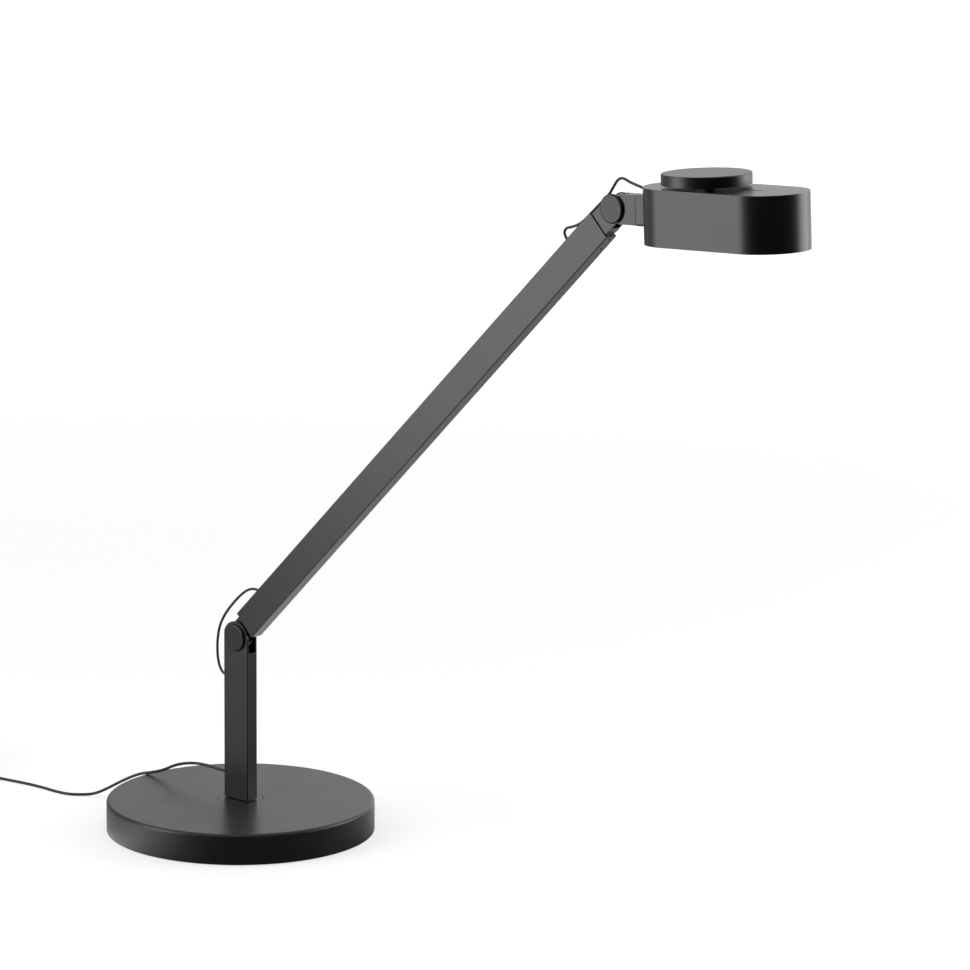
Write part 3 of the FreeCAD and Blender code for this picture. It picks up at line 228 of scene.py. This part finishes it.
def satin_lacquer(name, gloss, peel_um, grain_um):
    """Sprayed and baked black: how rough its gloss is, and how high its peel and grain stand."""
    paint = Finish(name, IOR=1.5)
    drift = paint.noise(DRIFT_PER_M, detail=3.0)
    peel = paint.noise(PEEL_PER_M, detail=1.0, rough=0.4)
    grain = paint.noise(GRAIN_PER_M, detail=2.0, rough=0.6)
    skin = paint.bump(peel, peel_um / 1000.0)
    skin = paint.bump(grain, grain_um / 1000.0, under=skin)
    thin = paint.between(drift, THIN_FROM, THIN_FULL)
    paint.set(Base_Color=paint.mix(thin, LACQUER_BLACK, LACQUER_THIN))
    paint.set(Roughness=gloss + (drift - 0.5) * 0.06 + (grain - 0.5) * 0.05, Normal=skin)
    finishes[name] = paint.material


satin_lacquer("black_lacquer", gloss=0.30, peel_um=4.0, grain_um=5.0)
print("finishes:", sorted(finishes))

# %% [markdown]
# The base is the same black on spun steel, with a slightly coarser powder coat, as a part that people
# lean on gets. Its rim and top are one surface, so one finish covers both.

# %% Powder coat on the base
satin_lacquer("black_powder_coat", gloss=0.34, peel_um=6.0, grain_um=9.0)
print("finishes:", sorted(finishes))

# %% [markdown]
# The hinge caps are turned steel with the same black over them, a little shinier than the arm because a
# lathe leaves a truer surface than a saw. The tool's fine rings are still there under the paint: waves of
# the distance from the cap's middle. The lower hinge and the upper one lie on different axes, so the
# rings are drawn once about each.


# %% Turned caps
def turned_black(name, centre, rings_per_mm=3.0):
    """Black over turned steel, with the tool's rings about an axis along Y through the centre, in metres."""
    steel = Finish(name, Base_Color=LACQUER_BLACK, Specular_IOR_Level=0.38)
    east = steel.axis("X") - centre[0]
    up = steel.axis("Z") - centre[1]
    away = (east * east + up * up) ** 0.5
    ring = steel.add("Math", {"operation": "SINE"}, {0: away * (rings_per_mm * 1000.0 * 2.0 * math.pi)})
    grain = steel.noise(GRAIN_PER_M, detail=2.0)
    skin = steel.bump(grain, 0.004, under=steel.bump(ring, 0.0006))
    steel.set(Roughness=0.30 + (grain - 0.5) * 0.06, Normal=skin)
    finishes[name] = steel.material


def joint_place(name):
    """Where a joint's axis crosses the lamp's middle plane: how far forward and how high."""
    joint = [j for j in frame["joints"] if j["name"] == name][0]
    return joint["pos_m"][0], joint["pos_m"][2]


turned_black("black_cap_low", joint_place("arm_hinge"))
turned_black("black_cap_high", joint_place("head_tilt"))
print("lower hinge at", joint_place("arm_hinge"), "upper hinge at", joint_place("head_tilt"))

# %% [markdown]
# The knob is moulded: a matte black plastic with the fine even spark texture that a mould is given so
# that fingers don't slip and don't leave marks. Small scattered cells make that texture better than
# smooth noise does, with a little noise under them.

# %% Moulded knob
KNOB_BLACK = (0.0030, 0.0030, 0.0030)
SPARK_PER_M = 2600.0
knob_paint = Finish("moulded_black", Base_Color=KNOB_BLACK, Specular_IOR_Level=0.5)
spark = knob_paint.cells(SPARK_PER_M)
soft = knob_paint.noise(900.0, detail=2.0)
knob_paint.set(Roughness=0.34 + (soft - 0.5) * 0.08)
knob_paint.set(Normal=knob_paint.bump(soft, 0.003, under=knob_paint.bump(spark, 0.006)))
finishes["moulded_black"] = knob_paint.material
print("finishes:", len(finishes))

# %% [markdown]
# The cable's skin is soft black vinyl, drawn through a die. Its gloss is broken by faint lines along its
# length and by a bloom of dust in its pores. The adapter is a harder, shinier plastic with a satin
# moulded grain.

# %% Vinyl and hard plastic
vinyl = Finish("black_vinyl", Specular_IOR_Level=0.45)
bloom = vinyl.noise(420.0, detail=4.0, rough=0.6)
vinyl.set(Base_Color=vinyl.mix(vinyl.between(bloom, 0.4, 0.8), (0.012, 0.012, 0.012), (0.022, 0.022, 0.022)))
vinyl.set(Roughness=0.46 + (bloom - 0.5) * 0.12, Normal=vinyl.bump(bloom, 0.01))
finishes["black_vinyl"] = vinyl.material

hard = Finish("black_hard_plastic", Base_Color=(0.014, 0.014, 0.015))
pebble = hard.cells(1500.0)
hard.set(Roughness=0.4 + (pebble - 0.5) * 0.1, Normal=hard.bump(pebble, 0.012))
finishes["black_hard_plastic"] = hard.material
print("finishes:", len(finishes))

# %% [markdown]
# Under the base there is a rubber disc, moulded with shallow rings so that it grips. The rings are waves
# of the distance from the middle, flattened at their tops by squaring them off with a soft step.

# %% Ribbed rubber
RIB_APART = 0.004
pad_rubber = Finish("pad_rubber", Specular_IOR_Level=0.3)
far = pad_rubber.axis("X") * pad_rubber.axis("X") + pad_rubber.axis("Y") * pad_rubber.axis("Y")
wave = pad_rubber.add("Math", {"operation": "SINE"}, {0: (far ** 0.5) * (2.0 * math.pi / RIB_APART)})
rib = pad_rubber.between(wave, -0.3, 0.3)
crumb = pad_rubber.noise(1400.0, detail=4.0, rough=0.7)
pad_rubber.set(Base_Color=pad_rubber.mix(crumb, (0.016, 0.016, 0.016), (0.030, 0.029, 0.028)))
pad_rubber.set(Roughness=0.74 + (crumb - 0.5) * 0.2)
pad_rubber.set(Normal=pad_rubber.bump(crumb, 0.03, under=pad_rubber.bump(rib, 0.25)))
finishes["pad_rubber"] = pad_rubber.material
print("finishes:", len(finishes))

# %% [markdown]
# The metals that show only when the lamp is turned over or taken apart are bare: zinc-plated screws, a
# brass bush, an aluminium heat sink and the sand-cast weight. They share one recipe: a metal's colour, a
# streak or a grain for its roughness, and a bump from the same pattern.


# %% Bare metals
def bare_metal(name, colour, dull, gloss, grains_per_metre, bump_um, stretch=(1.0, 1.0, 1.0)):
    """A metal that wanders between a bright and a dull colour; its grain may be drawn out one way."""
    metal = Finish(name, Metallic=1.0)
    grain = metal.noise(grains_per_metre, detail=4.0, rough=0.6, scale=stretch)
    tarnish = metal.noise(90.0, detail=3.0)
    metal.set(Base_Color=metal.mix(metal.between(tarnish, 0.4, 0.7), colour, dull))
    metal.set(Roughness=gloss + (grain - 0.5) * 0.22, Normal=metal.bump(grain, bump_um / 1000.0))
    finishes[name] = metal.material


bare_metal("zinc_steel", (0.50, 0.50, 0.51), (0.40, 0.40, 0.42), 0.32, 900.0, 6.0)
bare_metal("turned_brass", (0.78, 0.60, 0.30), (0.60, 0.44, 0.20), 0.28, 1600.0, 4.0, (1.0, 1.0, 6.0))
bare_metal("milled_aluminium", (0.66, 0.67, 0.69), (0.56, 0.57, 0.60), 0.36, 500.0, 8.0, (0.08, 1.0, 1.0))

cast = Finish("cast_iron", Metallic=0.6)
sand = cast.noise(700.0, detail=6.0, rough=0.7)
cast.set(Base_Color=cast.mix(sand, (0.045, 0.044, 0.044), (0.105, 0.100, 0.096)))
cast.set(Roughness=0.66 + (sand - 0.5) * 0.3, Normal=cast.bump(sand, 0.16))
finishes["cast_iron"] = cast.material

oxide = Finish("black_oxide", Metallic=0.75)
oil = oxide.noise(800.0, detail=3.0)
oxide.set(Base_Color=oxide.mix(oil, (0.030, 0.030, 0.032), (0.055, 0.054, 0.055)))
oxide.set(Roughness=0.38 + (oil - 0.5) * 0.16, Normal=oxide.bump(oil, 0.006))
finishes["black_oxide"] = oxide.material
print("finishes:", len(finishes))

# %% [markdown]
# The light itself: a white board with yellow phosphor chips, a white tray round it, and an opal plate
# below that hides the chips and spreads their light. Opal acrylic lets light in and scatters it, so it
# gets some subsurface scattering under a frosted skin. The lamp is switched off here, as it is in the
# photograph.

# %% Light board, tray and opal plate
board = Finish("white_board", Base_Color=(0.78, 0.78, 0.75))
mask_grain = board.noise(600.0, detail=2.0)
board.set(Roughness=0.38 + (mask_grain - 0.5) * 0.1, Normal=board.bump(mask_grain, 0.004))
finishes["white_board"] = board.material

phosphor = Finish("phosphor", Specular_IOR_Level=0.4)
powder = phosphor.noise(3000.0, detail=2.0)
phosphor.set(Base_Color=phosphor.mix(powder, (0.80, 0.62, 0.14), (0.88, 0.74, 0.28)))
phosphor.set(Roughness=0.3 + powder * 0.1, Normal=phosphor.bump(powder, 0.004))
finishes["phosphor"] = phosphor.material

tray = Finish("white_tray", Base_Color=(0.84, 0.84, 0.83))
tray_grain = tray.cells(1400.0)
tray.set(Roughness=0.5 + (tray_grain - 0.5) * 0.1, Normal=tray.bump(tray_grain, 0.008))
finishes["white_tray"] = tray.material

OPAL_DEPTH = (0.004, 0.004, 0.004)
opal = Finish("opal_acrylic", Subsurface_Weight=0.3, Subsurface_Radius=OPAL_DEPTH, Subsurface_Scale=1.0)
frost = opal.noise(2200.0, detail=3.0)
opal.set(Base_Color=opal.mix(frost, (0.82, 0.82, 0.81), (0.87, 0.87, 0.86)))
opal.set(Roughness=0.42 + (frost - 0.5) * 0.12, Normal=opal.bump(frost, 0.010))
finishes["opal_acrylic"] = opal.material
print("finishes:", len(finishes))

# %% [markdown]
# Inside the head sits the driver: a green board whose copper tracks show through the lacquer as a darker,
# slightly raised pattern. Scattered cells, cut off by a soft step, give such a pattern. The friction
# washers are nylon, milky and a little translucent.

# %% Driver board and nylon
TRACKS_PER_M = 260.0
TRACK_FROM = 0.18
TRACK_FULL = 0.24
driver = Finish("driver_board", Specular_IOR_Level=0.5)
tracks = driver.cells(TRACKS_PER_M)
copper = driver.between(tracks, TRACK_FROM, TRACK_FULL)
driver.set(Base_Color=driver.mix(copper, (0.020, 0.110, 0.045), (0.012, 0.070, 0.030)))
driver.set(Roughness=0.34 + copper * 0.1, Normal=driver.bump(copper, 0.03))
finishes["driver_board"] = driver.material

NYLON_DEPTH = (0.001, 0.001, 0.001)
nylon = Finish("nylon", Subsurface_Weight=0.1, Subsurface_Radius=NYLON_DEPTH, Subsurface_Scale=1.0)
cloud = nylon.noise(500.0, detail=3.0)
nylon.set(Base_Color=nylon.mix(cloud, (0.56, 0.55, 0.50), (0.64, 0.63, 0.59)))
nylon.set(Roughness=0.42 + (cloud - 0.5) * 0.1, Normal=nylon.bump(cloud, 0.006))
finishes["nylon"] = nylon.material
print("finishes:", len(finishes))

# %% [markdown]
# With the finishes made, each solid part is given its own. A part keeps its shape and its place: only the
# material in its slots changes.

# %% Dress the solid parts
DRESS = {
    "black_powder_coat": ("base_cover", "swivel_disc"),
    "black_lacquer": (
        "post_tube", "post_foot", "lower_tongue", "arm_tube", "upper_fork", "bracket", "head_neck",
        "head_housing",
    ),
    "black_cap_low": ("lower_hinge_cap", "lower_hinge_screw"),
    "black_cap_high": ("upper_hinge_cap", "upper_hinge_screw"),
    "moulded_black": ("dimmer_knob",),
    "black_vinyl": ("post_cable", "arm_cable"),
    "black_hard_plastic": ("power_adapter", "cord_relief"),
    "pad_rubber": ("base_pad",),
    "zinc_steel": (
        "base_screws", "swivel_stem", "swivel_washer", "swivel_nut", "foot_screws", "neck_screws",
        "sink_screws", "driver_screws", "swivel_pin", "dimmer_shaft", "dimmer_pot", "pot_nut",
    ),
    "turned_brass": ("swivel_bush", "adapter_pins"),
    "milled_aluminium": ("heat_sink",),
    "cast_iron": ("base_weight",),
    "black_oxide": ("arm_screws", "bracket_grub"),
    "white_board": ("led_board",),
    "phosphor": ("led_chips",),
    "white_tray": ("reflector_tray",),
    "opal_acrylic": ("diffuser",),
    "driver_board": ("driver_board",),
    "nylon": ("lower_friction_washers", "upper_friction_washers", "swivel_spacer"),
}

dressed = set()
for finish_name, nodes in DRESS.items():
    for node in nodes:
        part = frame["nodes"][node]
        part.data.materials.clear()
        part.data.materials.append(finishes[finish_name])
        dressed.add(node)
print("dressed", len(dressed), "parts; still bare:", sorted(set(frame["nodes"]) - dressed))

# %% [markdown]
# One thin cable feeds the lamp. It comes out of the post's back, lies over the base, drops to the table
# and runs off to its adapter. Another bares itself in a loop behind each hinge, so that the arm can
# swing. A real cable is a fixed length of something limp, so each stretch is a smooth curve through the
# points of its route. A NURBS curve of order three passes near its control points without a kink
# anywhere. What is put away, out of the picture, is wound in a flat coil: half turns that spiral in and
# out, four layers high.

# %% The cable's routes
CABLE_ACROSS = 0.0020
LEAD_ACROSS = 0.0022
POST_BACK = -0.0123
LEAD_HIGH = 0.0011

SUPPLY_ROUTE = (
    (POST_BACK, 0, 0.0412), (-0.0220, 0, 0.0412), (-0.0360, 0, 0.0420), (-0.0520, 0, 0.0408),
    (-0.0690, 0, 0.0362), (-0.0830, -0.0006, 0.0290), (-0.0950, -0.0016, 0.0252), (-0.1060, -0.0042, 0.0226),
    (-0.1200, -0.0084, 0.0152),
    (-0.1335, -0.0132, 0.0066), (-0.1430, -0.0166, 0.0019), (-0.1500, -0.0218, LEAD_HIGH),
    (-0.1580, -0.0284, LEAD_HIGH), (-0.1710, -0.0300, LEAD_HIGH), (-0.1870, -0.0291, LEAD_HIGH),
    (-0.2030, -0.0301, LEAD_HIGH), (-0.2180, -0.0324, LEAD_HIGH), (-0.2310, -0.0346, LEAD_HIGH),
    (-0.2410, -0.0352, LEAD_HIGH), (-0.2500, -0.0352, LEAD_HIGH),
)

LOWER_LOOP_ROUTE = (
    (POST_BACK, 0, 0.1156), (-0.0172, 0, 0.1156), (-0.0210, 0, 0.1189), (-0.0235, 0, 0.1247),
    (-0.0245, 0, 0.1330), (-0.0241, 0, 0.1424), (-0.0217, 0, 0.1526), (-0.0158, 0, 0.1624),
    (-0.0076, 0, 0.1715), (0.0010, 0, 0.1796), (0.0090, 0, 0.1849),
)

UPPER_LOOP_ROUTE = (
    (0.3438, 0, 0.5053), (0.3506, 0, 0.5114), (0.3563, 0, 0.5166), (0.3604, 0, 0.5228), (0.3640, 0, 0.5279),
    (0.3686, 0, 0.5292), (0.3740, 0, 0.5270), (0.3771, 0, 0.526292),
)

HEAD_CABLE_ROUTE = (
    (0.3771, 0, 0.526292), (0.3832, 0, 0.5249), (0.3896, 0, 0.5235), (0.3966, 0, 0.5228),
    (0.4056, 0, 0.5230), (0.4160, 0, 0.5237), (0.4260, 0, 0.5242), (0.433972, 0, 0.524660),
)


ARM_SLOPE_DEGREES = 44.61
ARM_TOP = 0.01244
LOW_HOLE = 0.0413
HIGH_HOLE = 0.4615


def on_arm(along, high):
    """A point given along the arm and above its pivot, turned to the arm's slope."""
    pivot_x, pivot_z = joint_place("arm_hinge")
    slope = math.radians(ARM_SLOPE_DEGREES)
    x = pivot_x + along * math.cos(slope) - high * math.sin(slope)
    z = pivot_z + along * math.sin(slope) + high * math.cos(slope)
    return (x, 0.0, z)


LOWER_END = ((-0.0021, 0.00363), (0.0, 0.0))
UPPER_START = (
    (0.0, 0.0), (0.0, 0.0037), (0.0013, 0.0070), (0.0049, 0.0079), (0.0096, 0.0050), (0.0156, 0.0024),
    (0.0226, 0.0012),
)
lower_end = tuple(on_arm(LOW_HOLE + along, ARM_TOP + high) for along, high in LOWER_END)
upper_start = tuple(on_arm(HIGH_HOLE + along, ARM_TOP + high) for along, high in UPPER_START)
lower_route = LOWER_LOOP_ROUTE + lower_end
upper_route = upper_start + UPPER_LOOP_ROUTE
print("points on the routes:", len(SUPPLY_ROUTE), len(lower_route), len(upper_route), len(HEAD_CABLE_ROUTE))

# %% [markdown]
# The coil's turns are more points of the supply lead's own line. Each half turn is a half circle about
# one of two middles, so its neighbours lie one pitch away on either side, and a climb to the next layer
# comes where the spiral turns back. A smooth curve cuts a little inside its control points, so they stand
# that much further out.

# %% The coil's turns
COIL_PITCH = 0.0027
COIL_OUTER = 0.0187
HALF_TURNS_IN = 9
LAYERS = 4
POINTS_PER_HALF = 7
RELIEF_HIGH = 0.014


def coil_halves():
    """Every half turn's radius and how far it climbs, in order."""
    step = COIL_PITCH / 2.0
    inward = [COIL_OUTER - step * k for k in range(HALF_TURNS_IN)]
    halves = [(radius, 0.0) for radius in inward] + [(COIL_OUTER - step * HALF_TURNS_IN, COIL_PITCH)]
    halves += [(radius, 0.0) for radius in reversed(inward[1:])] + [(COIL_OUTER, COIL_PITCH)]
    halves += [(radius, 0.0) for radius in inward[1:]] + [(COIL_OUTER - step * HALF_TURNS_IN, COIL_PITCH)]
    halves += [(radius, 0.0) for radius in reversed(inward)]
    lift = RELIEF_HIGH - LEAD_HIGH - COIL_PITCH * (LAYERS - 1)
    return halves + [(COIL_OUTER + step, lift)]


def coil_points(start):
    """The coil's control points from its first end, and the straight bit into the adapter's relief."""
    heading = -1.0
    here = Vector(start) + Vector((heading * LEAD_ACROSS, 0, 0))
    outward = 1.0 / math.cos(math.pi / (2 * POINTS_PER_HALF))
    points = [tuple(here)]
    for radius, climb in coil_halves():
        middle = here + Vector((0, heading * radius, 0))
        for number in range(POINTS_PER_HALF):
            turn = math.pi * (number + 0.5) / POINTS_PER_HALF
            x = heading * math.sin(turn) * radius * outward
            y = -heading * math.cos(turn) * radius * outward
            points.append(tuple(middle + Vector((x, y, climb * turn / math.pi))))
        here = here + Vector((0, 2.0 * heading * radius, climb))
        heading = -heading
    tail = here + Vector((2.0 * heading * LEAD_ACROSS, 0, 0))
    return points + [tuple(here), tuple(tail)]


supply_route = SUPPLY_ROUTE + tuple(coil_points(SUPPLY_ROUTE[-1]))
print("half turns:", len(coil_halves()), "points on the supply lead:", len(supply_route))

# %% [markdown]
# A curve with a round bevel is already a cable. It is turned into a mesh here, and the curve itself is
# removed. The plain line, read from the same curve with no bevel, is kept to say where the cable runs.


def route_line(name, route, across, steps):
    """The smooth line through a route as a curve with a round section, and the points that it passes."""
    curve = bpy.data.curves.new(name, "CURVE")
    curve.dimensions = "3D"
    curve.resolution_u = steps
    spline = curve.splines.new("NURBS")
    spline.points.add(len(route) - 1)
    for point, place in zip(spline.points, route):
        point.co = (*place, 1.0)
    spline.order_u = 3
    spline.use_endpoint_u = True
    line_object = bpy.data.objects.new(name + "_line", curve)
    bpy.context.scene.collection.objects.link(line_object)
    bpy.context.view_layer.update()
    plain = bpy.data.meshes.new_from_object(line_object)
    path = [tuple(vertex.co) for vertex in plain.vertices]
    curve.bevel_depth = across / 2.0
    curve.bevel_resolution = 4
    curve.use_fill_caps = True
    bpy.context.view_layer.update()
    depsgraph = bpy.context.evaluated_depsgraph_get()
    tube = bpy.data.meshes.new_from_object(line_object.evaluated_get(depsgraph))
    bpy.data.objects.remove(line_object)
    bpy.data.meshes.remove(plain)
    return tube, path


def lay_cable(name, route, across, steps=10):
    """A cable of one smooth curve, as a mesh tube with the vinyl finish."""
    tube, path = route_line(name, route, across, steps)
    cable = bpy.data.objects.new(name, tube)
    bpy.context.scene.collection.objects.link(cable)
    tube.materials.clear()
    tube.materials.append(finishes["black_vinyl"])
    for face in tube.polygons:
        face.use_smooth = True
    length = sum(math.dist(a, b) for a, b in zip(path, path[1:]))
    print(f"{name}: {length * 1000:.0f} mm long, {across * 1000:.1f} mm across")
    return cable, path


supply, supply_path = lay_cable("supply_lead", supply_route, LEAD_ACROSS, steps=6)
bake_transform(supply)
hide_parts("supply_cord", "cord_coil")

lower, lower_path = lay_cable("lower_loop", lower_route, CABLE_ACROSS)
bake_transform(lower)
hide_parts("lower_cable_loop")

upper, upper_path = lay_cable("upper_loop", upper_route, CABLE_ACROSS)
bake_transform(upper)
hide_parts("upper_cable_loop")

into_head, into_head_path = lay_cable("cable_into_head", HEAD_CABLE_ROUTE, CABLE_ACROSS)
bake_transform(into_head)
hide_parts("head_cable")

# %% [markdown]
# A satin black lamp is mostly what it reflects, so the studio matters as much as the paint. In the
# photograph the head's long side is an even grey, its round end is black in the middle and grey again at
# the edge, and its top is pale. Followed back along the mirrored line of sight, that gives a room which
# is white behind the lamp, has a tall soft box on either side, and is dark on the side where the camera
# stands. One ramp round the horizon writes that room down: degrees from +X towards +Y, and how bright it
# is there.

# %% Brightness round the horizon
BRIGHTEST = 2.0
ROOM_ROUND = (
    (-180, 0.42), (-158, 0.42), (-146, 0.9), (-128, 1.1), (-108, 1.0), (-94, 0.12), (-80, 0.02), (14, 0.02),
    (30, 0.12), (42, 1.0), (60, 1.25), (90, 1.2), (122, 1.15), (134, 0.95), (146, 0.45), (180, 0.42),
)
# The table's painted glow round the lamp, seen only in the lamp's reflections: painted light at both sides,
# painted shade on the camera's side.
TABLE_PAINTED_GLOW_ROUND = (
    (-180, 0.60), (-158, 0.40), (-132, 0.72), (-108, 1.90), (-92, 1.00), (-76, 0.30), (-58, 0.12),
    (16, 0.14), (38, 0.40), (60, 0.60), (84, 0.90), (108, 1.45), (132, 1.20), (152, 0.75), (180, 0.60),
)


class Studio(Finish):
    """The same sums for the room and the table, around a plain output instead of a Principled shader."""

    def __init__(self, tree, output_kind):
        self.tree = tree
        self.tree.nodes.clear()
        self.output = self.tree.nodes.new("ShaderNode" + output_kind)

    def round_horizon(self, direction, stops):
        """How bright the room is in a direction, from its place between the ramp's stops."""
        east = self.add("SeparateXYZ", {}, {0: direction}, output=0)
        north = self.add("SeparateXYZ", {}, {0: direction}, output=1)
        turn = self.add("Math", {"operation": "ARCTAN2"}, {0: north, 1: east}) / (2.0 * math.pi) + 0.5
        greys = [(degrees / 360.0 + 0.5, (grey / BRIGHTEST,) * 3) for degrees, grey in stops]
        return self.add("ValToRGB", {"stops": greys}, {0: turn}) * BRIGHTEST

    def surface(self, shader):
        """What the room or the table shows."""
        self.tree.links.new(shader.socket, self.output.inputs["Surface"])


print("stops in the room's ramp:", len(ROOM_ROUND))

# %% [markdown]
# The room is a sky that follows the ramp, and evens out towards the ceiling. The camera itself sees plain
# white, as after the retouching that such a picture gets.

# %% The room
CEILING = 0.75
CEILING_FROM = 0.35
CEILING_FULL = 0.8
WHITE = (1.0, 1.0, 1.0)
world = bpy.data.worlds.new("studio_room")
bpy.context.scene.world = world
world.use_nodes = True
room = Studio(world.node_tree, "OutputWorld")
way = room.add("TexCoord", output="Generated")
height = room.add("SeparateXYZ", {}, {0: way}, output=2)
overhead = room.between(height, CEILING_FROM, CEILING_FULL)
walls = room.round_horizon(way, ROOM_ROUND)
glow = walls + overhead * (CEILING - walls)
seen = room.add("LightPath", output="Is Camera Ray")
room.surface(room.add("Background", {}, {"Color": WHITE, "Strength": glow + seen * (1.0 - glow)}))
print("room ready")

# %% [markdown]
# The table has to be pure white in the picture and still carry the lamp's soft shadow. So to the camera
# it glows a little as well as catching light: the glow lifts it to white, and a shadow takes away only
# the part that is lit. In the lamp's paint it shows a painted reflection instead: a glow by the ramps,
# with painted light at the sides and painted shade on the camera's side near the lamp, and the room far off.

# %% The white table
TABLE_HALF = 30.0
TABLE_WHITE = (0.86, 0.86, 0.86)
GLOW_SHARE = 0.5
GLOW = 1.25
GLOW_FAR = 1.75
TABLE_NEAR = 0.5
TABLE_FAR = 2.0

table_mesh = bpy.data.meshes.new("white_table")
table_corners = [(x * TABLE_HALF, y * TABLE_HALF, 0.0) for x, y in ((-1, -1), (1, -1), (1, 1), (-1, 1))]
table_mesh.from_pydata(table_corners, [], [(0, 1, 2, 3)])
table = bpy.data.objects.new("white_table", table_mesh)
bpy.context.scene.collection.objects.link(table)

table_paint = bpy.data.materials.new("white_tabletop")
table_paint.use_nodes = True
table_paint.cycles.emission_sampling = "NONE"
top = Studio(table_paint.node_tree, "OutputMaterial")
spot = top.place()
distance = top.add("VectorMath", {"operation": "LENGTH"}, {0: spot}, output="Value")
near = top.round_horizon(spot, TABLE_PAINTED_GLOW_ROUND)
far_off = top.round_horizon(spot, ROOM_ROUND)
mirrored = near + top.between(distance, TABLE_NEAR, TABLE_FAR) * (far_off - near)
matt = top.add("BsdfDiffuse", {}, {"Color": TABLE_WHITE})
glow_here = top.between(distance, TABLE_NEAR, 2.0 * TABLE_FAR, GLOW, GLOW_FAR)
lifted = top.add("Emission", {}, {"Color": WHITE, "Strength": glow_here})
# Painted reflection: to glossy rays the table glows by these ramps, lighter at the sides and darker on the
# camera's side, instead of showing how it is lit.
painted_reflection_glow = top.add("Emission", {}, {"Color": WHITE, "Strength": mirrored})
camera_ray = top.add("LightPath", output="Is Camera Ray")
glossy_ray = top.add("LightPath", output="Is Glossy Ray")
to_camera = top.add("MixShader", {}, {0: camera_ray * GLOW_SHARE, 1: matt, 2: lifted})
top.surface(top.add("MixShader", {}, {0: glossy_ray, 1: to_camera, 2: painted_reflection_glow}))
table_mesh.materials.append(table_paint)
print("table ready")

# %% [markdown]
# The two soft boxes stand upright on the table, one to the left of the camera and one far to the right.
# They are about twice as bright as the backdrop. They reach down to the table, so high parts of the lamp
# mirror them and low parts mirror the table, and the arm grows paler towards its upper end.


# %% Soft boxes
BOX_AWAY = 1.4
BOX_HIGH = 1.3
BOX_LIFT = 0.01
WATTS_PER_RADIANCE = 4.0
knob_low, knob_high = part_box("dimmer_knob")
head_x = knob_low.x / 2.0 + knob_high.x / 2.0


def soft_box(name, azimuth, wide, radiance):
    """An upright soft box at an azimuth about the head, turned to face it."""
    turn = math.radians(azimuth)
    lamp = bpy.data.lights.new(name, "AREA")
    lamp.shape = "RECTANGLE"
    lamp.size = wide
    lamp.size_y = BOX_HIGH
    lamp.energy = radiance * WATTS_PER_RADIANCE * wide * BOX_HIGH
    box = bpy.data.objects.new(name, lamp)
    bpy.context.scene.collection.objects.link(box)
    east = head_x + BOX_AWAY * math.cos(turn)
    box.location = (east, BOX_AWAY * math.sin(turn), BOX_HIGH / 2.0 + BOX_LIFT)
    box.rotation_euler = (math.pi / 2.0, 0.0, turn + math.pi / 2.0)
    print(f"{name}: {lamp.energy:.1f} W at", [round(v, 2) for v in box.location])


soft_box("left_box", azimuth=-130.0, wide=0.80, radiance=2.2)
soft_box("right_box", azimuth=60.0, wide=0.95, radiance=2.2)

bpy.context.scene.view_settings.view_transform = "Standard"
